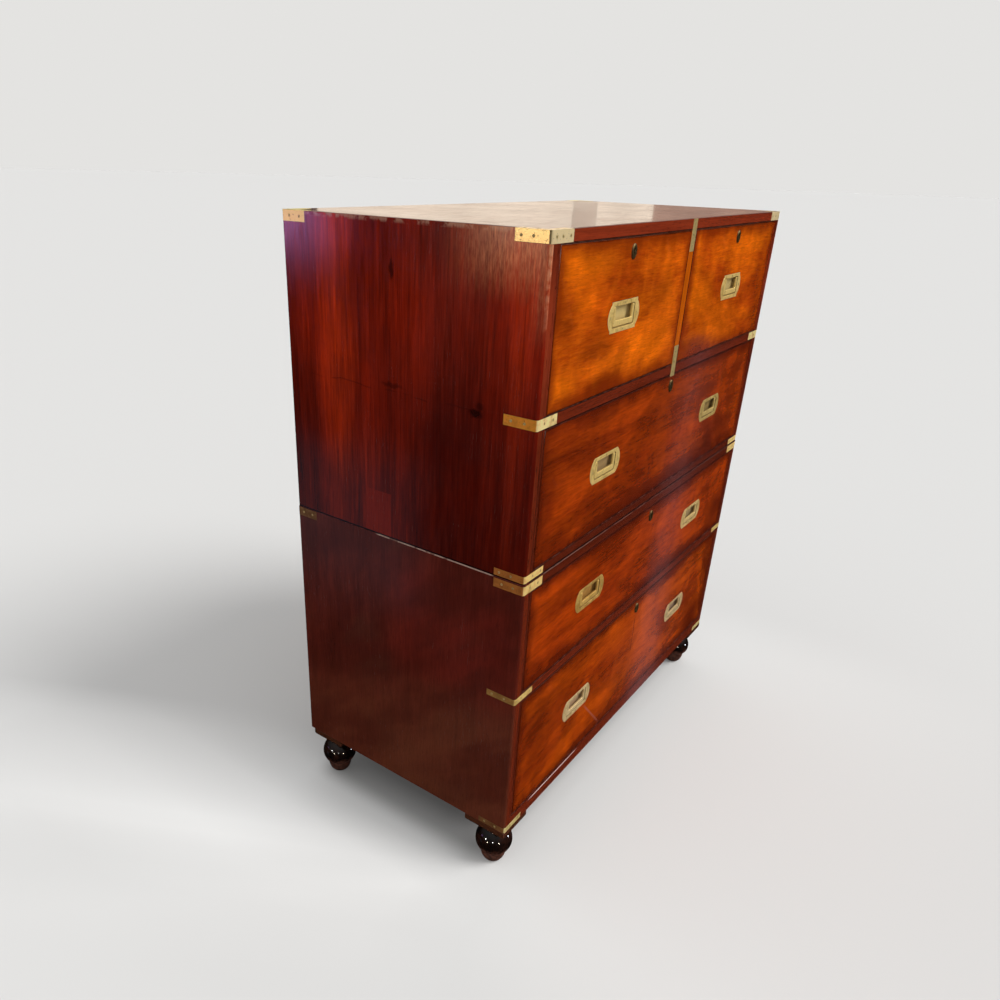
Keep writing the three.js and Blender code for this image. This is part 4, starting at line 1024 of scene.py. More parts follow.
def finish_strap(name, bm, body, material, replaced, chosen=sharp_edges):
    round_edges(bm, chosen, bpy.context.scene.chest_brass.edge, "grime", 0.35)
    add_piece(name, bm, (material,), body, "aged_brass", *replaced)


def corner_strap(name, x, y, sx, sy, z0, z1, body, material, *replaced, leg=STRAP_LEG, corner=STRAP_CORNER):
    """A strap that wraps a corner of a case at (x, y); sx and sy point outwards."""
    outer, inner = strap_arcs(corner)
    thin = STRAP_THICKNESS
    points = [(leg, 0.0), *outer, (0.0, leg), (thin, leg), *inner[::-1], (leg, thin)]
    plan = [Vector((x - sx * u, y - sy * v)) for u, v in points]
    area = sum(a.x * b.y - b.x * a.y for a, b in zip(plan, plan[1:] + plan[:1]))
    plan = plan if area > 0 else plan[::-1]
    bm = bmesh.new()
    skin(bm, [at_height(plan, z0), at_height(plan, z1)], capped=True)
    finish_strap(name, bm, body, material, replaced)


def capped_strap(name, x, y, sx, sy, z0, z1, body, material, *replaced, width=18 * MM, leg=STRAP_LEG,
                 corner=STRAP_CORNER):
    """A corner strap that also turns over on to the top."""
    thin = STRAP_THICKNESS
    sections = [((leg, 0.0), (leg, thin), (leg, width))]
    sections += [(outer, inner, (width, width)) for outer, inner in zip(*strap_arcs(corner))]
    sections += [((0.0, leg), (thin, leg), (width, leg))]
    loops = []
    for outer, inner, end in sections:
        spots = [(outer, z0), (outer, z1), (end, z1), (end, z1 - thin), (inner, z1 - thin), (inner, z0)]
        loops.append([(x - sx * u, y - sy * v, z) for (u, v), z in spots])
    bm = bmesh.new()
    skin(bm, loops, capped=True)
    bmesh.ops.remove_doubles(bm, verts=bm.verts, dist=WELD)
    bmesh.ops.recalc_face_normals(bm, faces=bm.faces)
    finish_strap(name, bm, body, material, replaced,
                 lambda b: [e for e in sharp_edges(b) if e.calc_length() > 0.6 * MM])


# Seed, age, metal, roughness, tint of the front leg, and tint of the side leg against it, which is painted
# light: darker side legs as painted shade, a pale one where a highlight shows
STRAP_TONES = {
    "strap_top": (1.0, 0.1, 0.8, 0.2, (1.1, 1.08, 1.2), (1.0, 0.94, 0.8)),
    "strap_rail": (2.0, 0.35, 0.45, 0.3, (1.35, 1.3, 1.15), (0.8, 0.38, 0.09)),
    "strap_upper_joint": (3.0, 0.3, 0.45, 0.3, (1.35, 1.15, 0.8), (0.5, 0.24, 0.12)),
    "strap_lower_joint": (4.0, 0.4, 0.45, 0.3, (1.3, 1.12, 0.8), (0.5, 0.24, 0.12)),
    "strap_middle": (5.0, 0.4, 0.45, 0.3, (1.1, 0.98, 0.65), (0.52, 0.36, 0.28)),
    "strap_bottom": (6.0, 0.4, 0.45, 0.3, (1.03, 1.05, 0.9), (0.33, 0.17, 0.12)),
}
REAR_TOP_LEG = 50 * MM
REAR_LOWER_LEG = 47 * MM
REAR_CORNER = 2 * MM
DIVIDER_STRAP_WIDTH = 18.5 * MM
DIVIDER_STRAP_CORNER = (1.0 * MM, 3)
# Lower end of the upper strap on the divider, and upper end of the lower one
DIVIDER_STRAP_ENDS = (1096.5 * MM, 935 * MM)
UNDER_TOP = 0.3 * MM
OVER_RAIL = 3.5 * MM
STRAP_BED = 1.0 * MM


class CHEST_OT_straps(bpy.types.Operator):
    """Brass straps round the corners and on the drawer divider"""

    bl_idname = "chest.straps"
    bl_label = "Straps"

    def execute(self, context):
        settings = context.scene.chest_brass
        for stem, (*tones, side_light_tint) in STRAP_TONES.items():
            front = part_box(f"{stem}_left")[0].y
            material = brass(f"Brass of {stem}", *tones, side_leg_light=(front, side_light_tint))
            for side, sx in SIDES.items():
                node = f"{stem}_{side}"
                low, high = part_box(node)
                values = (f"{node}_finished", low.x if sx < 0 else high.x, low.y, sx, -1, low.z, high.z,
                          BODY_OF[node], material, node)
                if stem == "strap_top":
                    capped_strap(*values, width=high.z - low.z)
                else:
                    corner_strap(*values)
        bright = brass("Brass of the rear top straps", 11.0, 0.1, 0.5, 0.3, (1.15, 1.15, 0.72))
        old = brass("Brass of the rear joint straps", 14.0, 0.6, 0.5, 0.36, (0.36, 0.22, 0.18))
        upper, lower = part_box("upper_side_left"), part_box("lower_side_left")
        strap_low, strap_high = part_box("strap_top_left")
        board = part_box("lower_top_board")[0].z
        for side, sx in SIDES.items():
            x, y = (abs(upper[0].x) + settings.proud) * sx, upper[1].y + settings.proud
            capped_strap(f"strap_rear_top_{side}", x, y, sx, 1, strap_low.z, strap_high.z + settings.proud,
                         "upper_case", bright, width=strap_high.z - strap_low.z, leg=REAR_TOP_LEG,
                         corner=REAR_CORNER)
            x, y = (abs(lower[0].x) + settings.proud) * sx, lower[1].y + settings.proud
            corner_strap(f"strap_rear_joint_{side}", x, y, sx, 1, board + 1 * MM, lower[1].z - 1 * MM,
                         "lower_case", old, leg=REAR_LOWER_LEG, corner=REAR_CORNER)
        pale = brass("Brass of the divider straps", 12.0, 0.3, 0.7, 0.36, (1.0, 0.95, 0.8))
        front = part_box("drawer_divider")[0].y
        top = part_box("top_board")[1].z - UNDER_TOP
        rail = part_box("upper_rail")[0].z - OVER_RAIL
        rounding = min(settings.edge, settings.proud * 0.9)
        for name, z0, z1 in (("upper", DIVIDER_STRAP_ENDS[0], top), ("lower", rail, DIVIDER_STRAP_ENDS[1])):
            outline = rounded_rectangle(DIVIDER_STRAP_WIDTH, z1 - z0, *DIVIDER_STRAP_CORNER)
            bm = slab(bmesh.new(), outline, -STRAP_BED, settings.proud, rounding, 2)
            stand(bm, "front", 0, front, (z0 + z1) / 2)
            add_piece(f"divider_strap_{name}", bm, (pale,), "upper_case", "aged_brass")
        return {"FINISHED"}


# Recessed handles
PLATE_HEIGHT = 47 * MM
PLATE_FLANGE = 2 * MM
# Length of the flat part, bulge of the ends, and shoulder
PLATE_STYLES = {"short": (90 * MM, 10 * MM, 4 * MM), "long": (84 * MM, 13 * MM, 0.0)}
PAN = (75 * MM, 33 * MM, 4 * MM)
PAN_DEPTH = 9.5 * MM
PAN_WALL = 1.5 * MM
BAIL_THICKNESS = 4.4 * MM
BAIL_ARM = 6.5 * MM
BAIL_BAR = 9 * MM
BAIL_CORNER = 3 * MM
BAIL_NOSE = 2 * MM
BAIL_HOLLOW = 2.5 * MM
BAIL_TOP_REACH = 3 * MM
PIN_RADIUS = 1.5 * MM
PIN_REACH = 1.2 * MM
PIN_DROP = 4.2 * MM
PIN_SIDES = 14
BAIL_SIDE_GAP = 2 * MM
BAIL_BOTTOM_GAP = 2 * MM
BAIL_SINK = 0.4 * MM


def plate_outline(style):
    flat, bulge, shoulder = PLATE_STYLES[style]
    chord = PLATE_HEIGHT / 2 - shoulder
    radius = (chord ** 2 + bulge ** 2) / (2 * bulge)
    centre = flat / 2 + bulge - radius
    turn = math.asin(chord / radius)
    right = arc((centre, 0.0), radius, -turn, turn, 20)
    left = arc((-centre, 0.0), radius, math.pi - turn, math.pi + turn, 20)
    if not shoulder:
        return right + left
    u, v = flat / 2, PLATE_HEIGHT / 2
    return [Vector((u, -v)), *right, Vector((u, v)), Vector((-u, v)), *left, Vector((-u, -v))]


def handle_plate(style, settings):
    """A shaped plate with a pan, drawn flat with its face at the plate's height above the wood."""
    bm = bmesh.new()
    layer = bm.verts.layers.float.new("grime")
    outline = plate_outline(style)
    face = settings.proud
    pan = rounded_rectangle(*PAN)
    floor = face - PAN_DEPTH
    back = face - PLATE_FLANGE
    outer = skin(bm, [at_height(outline, back)] + rounded_edge(outline, face, settings.rim))
    lip, fillet = settings.lip, settings.fillet
    rings = [at_height(inset(pan, -lip * (1 - math.sin(a))), face - lip * (1 - math.cos(a)))
             for a in quarter_turns(3)]
    rings += [at_height(inset(pan, fillet * (1 - math.cos(a))), floor + fillet * (1 - math.sin(a)))
              for a in quarter_turns(3)]
    rings.append(at_height(inset(pan, fillet + 1.6 * MM), floor))
    inner = skin(bm, [ring[::-1] for ring in rings])
    bm.faces.new(inner[-1])
    fill_between(bm, outer[-1], inner[0])
    shell = rounded_rectangle(PAN[0] + 2 * PAN_WALL, PAN[1] + 2 * PAN_WALL, PAN[2] + PAN_WALL)
    under = skin(bm, [at_height(shell, floor - PAN_WALL), at_height(shell, back)])
    bm.faces.new(under[0][::-1])
    fill_between(bm, outer[0], under[-1])
    bmesh.ops.recalc_face_normals(bm, faces=bm.faces)
    # Dirt and painted shade: darker down the pan's walls, a dark painted line at the lip, a clean floor, dark
    # round the plate's foot
    for vert in bm.verts:
        depth = (face - vert.co.z) / PAN_DEPTH
        if depth > 0.2:
            vert[layer] = min(1.0, 0.1 + 0.2 * depth)
        elif depth > 0.03:
            vert[layer] = 0.65
    for vert in inner[-1]:
        vert[layer] = 0.1
    for vert in outer[0] + outer[1]:
        vert[layer] = 0.8
    return bm


def bail_outline():
    outer = PAN[0] / 2 - BAIL_SIDE_GAP
    inner = outer - BAIL_ARM
    foot = -(PAN[1] - PIN_DROP - BAIL_BOTTOM_GAP)
    bar = foot + BAIL_BAR
    nose = BAIL_TOP_REACH - BAIL_NOSE
    right = [*arc((outer - BAIL_CORNER, foot + BAIL_CORNER), BAIL_CORNER, -0.5 * math.pi, 0.0, 5),
             *arc((outer - BAIL_NOSE, nose), BAIL_NOSE, 0.0, 0.5 * math.pi, 3),
             *arc((inner + BAIL_NOSE, nose), BAIL_NOSE, 0.5 * math.pi, math.pi, 3),
             *arc((inner - BAIL_HOLLOW, bar + BAIL_HOLLOW), BAIL_HOLLOW, 0.0, -0.5 * math.pi, 4)]
    return right + [Vector((-p.x, p.y)) for p in reversed(right)]


def rod(bm, x0, x1):
    """A short pin along X with softened ends."""
    nose = PIN_RADIUS * 0.3
    sections = ((x0, -nose), (x0 + nose, 0.0), (x1 - nose, 0.0), (x1, -nose))
    turns = [2 * math.pi * i / PIN_SIDES for i in range(PIN_SIDES)]
    skin(bm, [[Vector((x, (PIN_RADIUS + more) * math.cos(a), (PIN_RADIUS + more) * math.sin(a)))
               for a in turns] for x, more in sections], capped=True)


def handle_bail(settings):
    """The bail hanging shut, drawn flat with its pins' axis at the origin."""
    bm = bmesh.new()
    outline = bail_outline()
    half = BAIL_THICKNESS / 2
    grip = settings.grip
    back = [at_height(inset(outline, grip * (1 - math.sin(a))), -half + grip * (1 - math.cos(a)))
            for a in (0.0, math.pi / 6, math.pi / 3)]
    skin(bm, back + rounded_edge(outline, half, grip, 4), capped=True)
    root = PAN[0] / 2 - BAIL_SIDE_GAP - 0.5 * BAIL_ARM
    for sign in (-1, 1):
        rod(bm, *sorted((sign * root, sign * (PAN[0] / 2 + PIN_REACH))))
    bmesh.ops.recalc_face_normals(bm, faces=bm.faces)
    # Dirt and painted shade on the bail's back half, which faces into the pan
    mark_grime_and_shade(bm, lambda v: v.co.z < 0.45 * half, 0.7)
    return bm


# Seed, age, tint of the plate and bail, and tint of the pan's floor, partly brass tone and partly painted
# light
HANDLE_TONES = {
    "short_drawer_left": (21.0, 0.4, (1.05, 0.93, 0.64), (1.0, 0.95, 0.8)),
    "short_drawer_right": (22.0, 0.4, (1.05, 0.93, 0.64), (0.9, 0.86, 0.72)),
    "second_drawer_left": (23.0, 0.45, (1.0, 0.88, 0.6), (0.56, 0.46, 0.42)),
    "second_drawer_right": (24.0, 0.5, (0.8, 0.72, 0.5), (0.42, 0.35, 0.25)),
    "third_drawer_left": (25.0, 0.6, (0.85, 0.66, 0.35), (0.62, 0.4, 0.2)),
    "third_drawer_right": (26.0, 0.45, (0.95, 0.85, 0.7), (0.56, 0.5, 0.5)),
    "bottom_drawer_left": (27.0, 0.45, (0.95, 0.88, 0.9), (0.7, 0.58, 0.68)),
    "bottom_drawer_right": (28.0, 0.4, (0.85, 0.78, 0.8), (0.52, 0.44, 0.6)),
}


class CHEST_OT_handles(bpy.types.Operator):
    """Recessed plates and their drop bails"""

    bl_idname = "chest.handles"
    bl_label = "Handles"

    def execute(self, context):
        settings = context.scene.chest_handle
        for drawer, handles in HANDLES.items():
            style = "short" if drawer.startswith("short") else "long"
            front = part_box(f"{drawer}_front")[0].y
            for handle in handles:
                x, y, z = middle_of(f"{handle}_plate")
                seed, age, warmth, pan_tone_and_light = HANDLE_TONES[handle]
                plate = brass(f"Brass of {handle} plate", seed, age, 0.4, 0.36, warmth,
                              pan=(x, front, pan_tone_and_light))
                bail = brass(f"Brass of {handle} bail", seed + 0.5, age * 0.6, 0.4, 0.3, warmth)
                bm = stand(handle_plate(style, settings), "front", x, front, z)
                add_piece(f"{handle}_plate_finished", bm, (plate,), drawer, "aged_brass", f"{handle}_plate")
                bm = stand(handle_bail(settings), "front", x,
                           front - settings.proud + BAIL_SINK + BAIL_THICKNESS / 2, z + PAN[1] / 2 - PIN_DROP)
                add_piece(f"{handle}_bail_finished", bm, (bail,), f"{handle}_bail", "aged_brass",
                          f"{handle}_bail")
        return {"FINISHED"}


# Locks
KEYHOLE_RADIUS = 2.4 * MM
KEYHOLE_SKIRT = (3.0 * MM, 8.6 * MM)
KEYHOLE_DROP = 18 * MM
KEYHOLE_POINTS = 48
ESCUTCHEON = (8.2 * MM, 11.5 * MM)
ESCUTCHEON_DROP = 2.6 * MM
ESCUTCHEON_RISE = 2.3 * MM
# Size, corner and its steps, base, top and rounding of the lock's two plates
SELVEDGE = ((54 * MM, 10.5 * MM, 2 * MM, 4), (-1.2 * MM, 0.15 * MM, 0.12 * MM))
LOCK_CASE = ((60 * MM, 38 * MM, 3 * MM, 5), (-1.5 * MM, 0.6 * MM, 0.4 * MM))
LOCK_CASE_DROP = 20.5 * MM
# Play round a bolt in its slot, and the slot's corner and its steps
BOLT_PLAY = 0.8 * MM
BOLT_SLOT = (0.6 * MM, 2)


def escutcheon():
    """A domed oval boss round the keyhole, drawn from the middle of the keyhole's round part."""
    hole, oval = [], []
    half, drop = KEYHOLE_SKIRT[0] / 2, KEYHOLE_SKIRT[1]
    for i in range(KEYHOLE_POINTS):
        angle = 2 * math.pi * i / KEYHOLE_POINTS
        across, up = math.cos(angle), math.sin(angle)
        reach = KEYHOLE_RADIUS
        if up < 0:
            reach = max(reach, min(half / max(abs(across), 1e-6), drop / -up))
        hole.append(Vector((reach * across, reach * up)))
        oval.append((ESCUTCHEON[0] * across, ESCUTCHEON[1] * up - ESCUTCHEON_DROP))
    rise = ESCUTCHEON_RISE
    rings = [at_height(hole, -1.0 * MM), at_height(oval, -1.0 * MM)]
    for part, height in ((1.0, 0.25), (0.96, 0.62), (0.87, 0.88), (0.75, 1.0), (0.6, 0.97)):
        rings.append([Vector((u * part, (v + ESCUTCHEON_DROP) * part - ESCUTCHEON_DROP, rise * height))
                      for u, v in oval])
    rings += [at_height(inset(hole, -0.6 * MM), rise * 0.78), at_height(hole, rise * 0.6),
              at_height(hole, -1.0 * MM)]
    bm = bmesh.new()
    skin(bm, rings)
    bmesh.ops.remove_doubles(bm, verts=bm.verts, dist=WELD)
    bmesh.ops.recalc_face_normals(bm, faces=bm.faces)
    mark_grime_and_shade(bm, lambda v: v.co.z < 0.3 * rise, 0.8)
    return bm


class CHEST_OT_locks(bpy.types.Operator):
    """Escutcheons, selvedges, lock plates and bolts"""

    bl_idname = "chest.locks"
    bl_label = "Locks"

    def execute(self, context):
        boss = brass("Brass of the escutcheons", 31.0, 0.7, 0.9, 0.2, (0.4, 0.36, 0.34))
        plate = brass("Brass of the locks", 32.0, 0.6, 0.75, 0.38)
        for drawer in DRAWERS:
            low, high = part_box(f"{drawer}_front")
            x = (low.x + high.x) / 2
            bm = stand(escutcheon(), "front", x, low.y, high.z - KEYHOLE_DROP)
            add_piece(f"{drawer}_escutcheon", bm, (boss,), drawer, "aged_brass")
            bolt_low, bolt_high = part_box(f"{drawer}_lock_bolt")
            size = bolt_high - bolt_low
            slot = rounded_rectangle(size.x + BOLT_PLAY, size.y + BOLT_PLAY, *BOLT_SLOT)
            bm = pierced_slab(bmesh.new(), rounded_rectangle(*SELVEDGE[0]), slot, *SELVEDGE[1])
            stand(bm, "top", x, (bolt_low.y + bolt_high.y) / 2, high.z)
            add_piece(f"{drawer}_lock_selvedge", bm, (plate,), drawer, "aged_brass")
            bm = slab(bmesh.new(), rounded_rectangle(*LOCK_CASE[0]), *LOCK_CASE[1])
            stand(bm, "back", x, high.y, high.z - LOCK_CASE_DROP)
            add_piece(f"{drawer}_lock_plate", bm, (plate,), drawer, "aged_brass")
            bolt = NODES[f"{drawer}_lock_bolt"]
            bolt.data.materials.clear()
            bolt.data.materials.append(plate)
        return {"FINISHED"}


# Screws, placed by Geometry Nodes
def screw_mesh(settings):
    """A countersunk head with a slot: a disc with two half discs on it."""
    bm = bmesh.new()
    disc = arc((0.0, 0.0), settings.screw_head, 0.0, 2 * math.pi, 24)[:-1]
    slab(bm, disc, -0.8 * MM, 0.02 * MM, 0.02 * MM, 1)
    radius = settings.screw_head * 0.97
    start = math.asin(settings.screw_slot / 2 / radius)
    for turn in (0, math.pi):
        cheek = arc((0.0, 0.0), radius, turn + start, turn + math.pi - start, 14)
        slab(bm, cheek, -0.4 * MM, 0.22 * MM, 0.12 * MM, 2)
    mark_grime_and_shade(bm, lambda v: v.co.z < 0.1 * MM, 0.6)
    return mesh_from(bm, "screw_head")


def screw_tree():
    """Geometry Nodes: one screw on each point, facing out, with its slot at a random turn."""
    tree = bpy.data.node_groups.new("Set screws", "GeometryNodeTree")
    for name, kind in (("Geometry", "Geometry"), ("Screw", "Object"), ("Size", "Float"), ("Seed", "Int"),
                       ("Material", "Material")):
        made = tree.interface.new_socket(name=name, in_out="INPUT", socket_type=f"NodeSocket{kind}")
        if name == "Size":
            made.default_value = 1.0
    tree.interface.new_socket(name="Geometry", in_out="OUTPUT", socket_type="NodeSocketGeometry")
    t = Tree(tree)
    entry = t.values(t.add("NodeGroupInput"))
    size = entry["Size"]
    facing = t.value("GeometryNodeInputNamedAttribute", {"Name": "facing"}, data_type="FLOAT_VECTOR")
    aligned = t.value("FunctionNodeAlignRotationToVector", {"Vector": facing}, axis="Z")
    turn = t.value("FunctionNodeRandomValue", {2: 0.0, 3: math.pi, "Seed": entry["Seed"]}, 1,
                   data_type="FLOAT")
    spin = t.value("FunctionNodeAxisAngleToRotation", {"Axis": (0.0, 0.0, 1.0), "Angle": turn})
    rotation = t.value("FunctionNodeRotateRotation", {"Rotation": aligned, "Rotate By": spin},
                       rotation_space="LOCAL")
    placed = t.value("GeometryNodeInstanceOnPoints", {
        "Points": entry["Geometry"], "Rotation": rotation, "Scale": t.join(size, size, size),
        "Instance": t.value("GeometryNodeObjectInfo", {"Object": entry["Screw"]}, "Geometry"),
    })
    real = t.value("GeometryNodeRealizeInstances", {0: placed})
    made = t.value("GeometryNodeSetMaterial", {"Geometry": real, "Material": entry["Material"]})
    t.add("NodeGroupOutput", {0: made})
    return tree


# Distances of the screws from a strap's corner along its front leg, in mm
STRAP_SCREWS = {
    "strap_top": (12, 28, 49), "strap_rail": (21, 46), "strap_upper_joint": (25, 49),
    "strap_lower_joint": (20, 43), "strap_middle": (8, 21, 48), "strap_bottom": (21, 46),
}
CAP_SCREWS = (26, 47)
CAP_MIDDLE = 8.5 * MM
# Body, board and strap middle under its top for the rear straps, and distances of their screws in mm
REAR_SCREWS = (("upper_case", "upper_side_left", 8.5, (16, 38)),
               ("lower_case", "lower_side_left", 9.5, (14, 36)))
DIVIDER_SCREWS = (1141, 1124, 1105, 924, 905, 887)
PLATE_SCREWS = (3.4 * MM, 46.5 * MM)
SELVEDGE_SCREW = 20 * MM
LOCK_SCREWS = ((25, 7), (25, 34))


def screw_points():
    """Where the screws stand on each body: (place, direction out of the face)."""
    points = {}

    def put(body, x, y, z, *direction):
        points.setdefault(body, []).append((Vector((x, y, z)), Vector(direction)))

    for stem, distances in STRAP_SCREWS.items():
        for side, sx in SIDES.items():
            node = f"{stem}_{side}"
            body = BODY_OF[node]
            low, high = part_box(node)
            x = low.x if sx < 0 else high.x
            z = (low.z + high.z) / 2
            for distance in distances:
                put(body, x - sx * distance * MM, low.y, z, 0, -1, 0)
            for distance in (distances[-2], distances[-1] - 2):
                put(body, x, low.y + distance * MM, z, sx, 0, 0)
            for distance in CAP_SCREWS if stem == "strap_top" else ():
                put(body, x - sx * distance * MM, low.y + CAP_MIDDLE, high.z, 0, 0, 1)
                put(body, x - sx * CAP_MIDDLE, low.y + distance * MM, high.z, 0, 0, 1)
    proud = bpy.context.scene.chest_brass.proud
    for sx in SIDES.values():
        for body, board, drop, distances in REAR_SCREWS:
            low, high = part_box(board)
            x, y, z = sx * (abs(low.x) + proud), high.y + proud, high.z - drop * MM
            for distance in distances:
                put(body, x, y - distance * MM, z, sx, 0, 0)
                put(body, x - sx * distance * MM, y, z, 0, 1, 0)
    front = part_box("drawer_divider")[0].y - proud
    for z in DIVIDER_SCREWS:
        put("upper_case", 0, front, z * MM, 0, -1, 0)
    for drawer, handles in HANDLES.items():
        front_low, front_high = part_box(f"{drawer}_front")
        face = front_low.y - bpy.context.scene.chest_handle.proud
        for handle in handles:
            low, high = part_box(f"{handle}_plate")
            x, y, z = middle_of(f"{handle}_plate")
            margin, reach = PLATE_SCREWS
            for u, v in ((x, high.z - margin), (x, low.z + margin), (x - reach, z), (x + reach, z)):
                put(drawer, u, face, v, 0, -1, 0)
        x = (front_low.x + front_high.x) / 2
        for sign in (-1, 1):
            put(drawer, x + sign * SELVEDGE_SCREW, middle_of(f"{drawer}_lock_bolt").y,
                front_high.z + SELVEDGE[1][1], 0, 0, 1)
            for across, drop in LOCK_SCREWS:
                put(drawer, x + sign * across * MM, front_high.y + LOCK_CASE[1][1], front_high.z - drop * MM,
                    0, 1, 0)
    return points


class CHEST_OT_screws(bpy.types.Operator):
    """Slotted screws in the straps, plates and locks"""

    bl_idname = "chest.screws"
    bl_label = "Screws"

    def execute(self, context):
        tree = screw_tree()
        sockets = {item.name: item.identifier for item in tree.interface.items_tree if item.in_out == "INPUT"}
        material = brass("Brass of the screws", 41.0, 0.4, 0.7, 0.34, (0.95, 0.9, 0.75))
        screw = linked("screw_pattern", screw_mesh(context.scene.chest_brass))
        for seed, (body, spots) in enumerate(screw_points().items()):
            mesh = bpy.data.meshes.new(f"{body}_screw_points")
            mesh.from_pydata([place for place, direction in spots], [], [])
            facing = mesh.attributes.new("facing", "FLOAT_VECTOR", "POINT")
            facing.data.foreach_set("vector", [c for place, direction in spots for c in direction])
            points = linked(mesh.name, mesh)
            modifier = points.modifiers.new("Screws", "NODES")
            modifier.node_group = tree
            modifier[sockets["Screw"]] = screw
            modifier[sockets["Seed"]] = seed
            modifier[sockets["Material"]] = material
            shown = points.evaluated_get(context.evaluated_depsgraph_get())
            piece = linked(f"{body}_screws", bpy.data.meshes.new_from_object(shown))
            bpy.data.objects.remove(points)
            if not piece.data.polygons:
                raise RuntimeError(f"no screws were made for {body}")
            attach(piece, body)
        bpy.data.objects.remove(screw)
        return {"FINISHED"}


# Feet
# Radius and height of the turning in mm, from the floor to the top of the peg
FOOT_PROFILE = (
    (0.0, 0.0), (12.6, 0.0), (14.8, 0.7), (17.2, 2.6), (19.6, 5.6), (21.8, 9.6), (23.4, 14.2), (24.5, 19.0),
    (25.2, 23.6), (25.7, 27.2), (26.3, 29.4), (27.4, 30.4), (29.4, 31.8), (32.2, 35.4), (34.6, 40.9),
    (35.9, 46.8), (36.0, 51.0), (35.3, 57.4), (33.3, 63.8), (30.0, 69.8), (26.0, 74.6), (22.4, 77.9),
    (20.0, 80.2), (19.2, 82.6), (19.8, 84.8), (22.2, 86.6), (25.8, 87.8), (27.4, 89.0), (28.0, 90.8),
    (28.0, 94.0), (27.4, 95.6), (26.0, 96.7), (12.5, 96.8), (12.5, 126.0), (11.5, 127.0), (0.0, 127.0),
)
FOOT_SEGMENTS = 72


class CHEST_OT_feet(bpy.types.Operator):
    """Four turned, ebonised feet"""

    bl_idname = "chest.feet"
    bl_label = "Feet"

    def execute(self, context):
        black = ebonised("Ebonised turning")
        for foot in FEET:
            x, y, z = middle_of(foot)
            profile = [(radius * MM, height * MM) for radius, height in FOOT_PROFILE]
            bm = lathe(bmesh.new(), profile, FOOT_SEGMENTS, (x, y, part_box(foot)[0].z))
            bmesh.ops.recalc_face_normals(bm, faces=bm.faces)
            add_piece(f"{foot}_turned", bm, (black,), foot, "ebonised_wood", foot)
        return {"FINISHED"}


# Studio
def stand_on_stage(thing, material, *hidden):
    """Gives a studio object its material, and hides it from some kinds of ray."""
    thing.data.materials.append(material)
    for rays in hidden:
        setattr(thing, f"visible_{rays}", False)


def sheet(name, corners):
    mesh = bpy.data.meshes.new(name)
    mesh.from_pydata(corners, [], [(0, 1, 2, 3)])
    return linked(name, mesh)


def glow(t, colour, strength):
    glowing = t.value("ShaderNodeEmission", {"Color": (*colour, 1.0), "Strength": strength})
    t.add("ShaderNodeOutputMaterial", {"Surface": glowing})


def glowing_card(name, corners, colour, strength, soft):
    """A card that only reflections show, glowing less towards its edges."""
    material = bpy.data.materials.new(name)
    t = bare_tree(material)
    where = t.value("ShaderNodeTexCoord", output="Object")
    level = t.remap(t.noise(where, 0.8, 3.0), 0.3, 0.7, 0.88 * strength, 1.08 * strength)
    if soft:
        ends = [(min(values), max(values)) for values in zip(*corners)]
        beyond = [0.0 if a < b else FAR_OFF for a, b in ends]
        low = tuple(a - far for (a, b), far in zip(ends, beyond))
        high = tuple(b + far for (a, b), far in zip(ends, beyond))
        level = level * (1.0 - t.use(border_shade, Vector=where, Low=low, High=high, Reach=soft)["Shade"])
    glow(t, colour, level)
    stand_on_stage(sheet(name, corners), material, "camera", "diffuse", "shadow", "transmission")


def backdrop(colour):
    """A pale dome far behind the chest that only the camera sees."""
    bm = bmesh.new()
    bmesh.ops.create_uvsphere(bm, u_segments=48, v_segments=24, radius=BACKDROP_REACH)
    dome = linked("studio_backdrop", mesh_from(bm, "studio_backdrop", smooth=False))
    material = bpy.data.materials.new("Backdrop")
    glow(bare_tree(material), colour, 1.0)
    stand_on_stage(dome, material, "diffuse", "glossy", "shadow", "transmission")


def studio_floor(settings):
    """The floor, with a shadow that is thinned where the photograph's is thin."""
    material, t, shader, where = new_material("Studio floor")
    path = t.values(t.add("ShaderNodeLightPath"))
    seen = t.sums("MAXIMUM", t.sums("MAXIMUM", path["Is Camera Ray"], path["Is Glossy Ray"]),
                  path["Is Transmission Ray"])
    x, y, z = t.split(where)
    clear = t.remap(y, -1.0, -0.3, 0.0, CLEAR_LIFT) * t.ease(y, -0.2, -0.1, 1.0, 0.0)
    clear = clear * t.window(x, -0.52, 0.6, 0.3)
    outside = y * SHADOW_SIDE[1] + x * SHADOW_SIDE[0] - SHADOW_REACH
    left = t.ramp(t.remap(outside, -0.4, 0.6), [(at + 0.4, lift) for at, lift in SHADOW_EDGE])
    left = left * (t.remap(y, -0.45, -0.12) * t.remap(y, 0.95, 1.4, 1.0, 0.0))
    left = left * t.ramp(t.remap(x, -1.0, 0.0), [(0.05, 0.6), (0.25, 1.0), (0.4, 1.0), (0.6, 0.0)])
    clear = t.sums("MAXIMUM", clear, left)
    # Painted shadow: the floor darkened under the chest
    under = t.window(x, -0.45, 0.45, 0.06) * t.window(y, -0.16, 0.2, 0.06)
    ground = t.blend(under * 0.6, tuple(settings.floor), BLACK)
    inputs = {
        "Base Color": t.blend(seen, ground, t.blend(1 - FLOOR_LIFT, BLACK, ground)),
        "Emission Color": (*settings.backdrop, 1.0), "Emission Strength": seen * (clear + FLOOR_LIFT),
        "Roughness": 1.0, "Specular IOR Level": 0.0,
    }
    for name, value in inputs.items():
        t.feed(shader.inputs[name], value)
    reach = FLOOR_REACH
    corners = [(-reach, -reach, 0), (reach, -reach, 0), (reach, reach, 0), (-reach, reach, 0)]
    stand_on_stage(sheet("studio_floor", corners), material, "glossy")


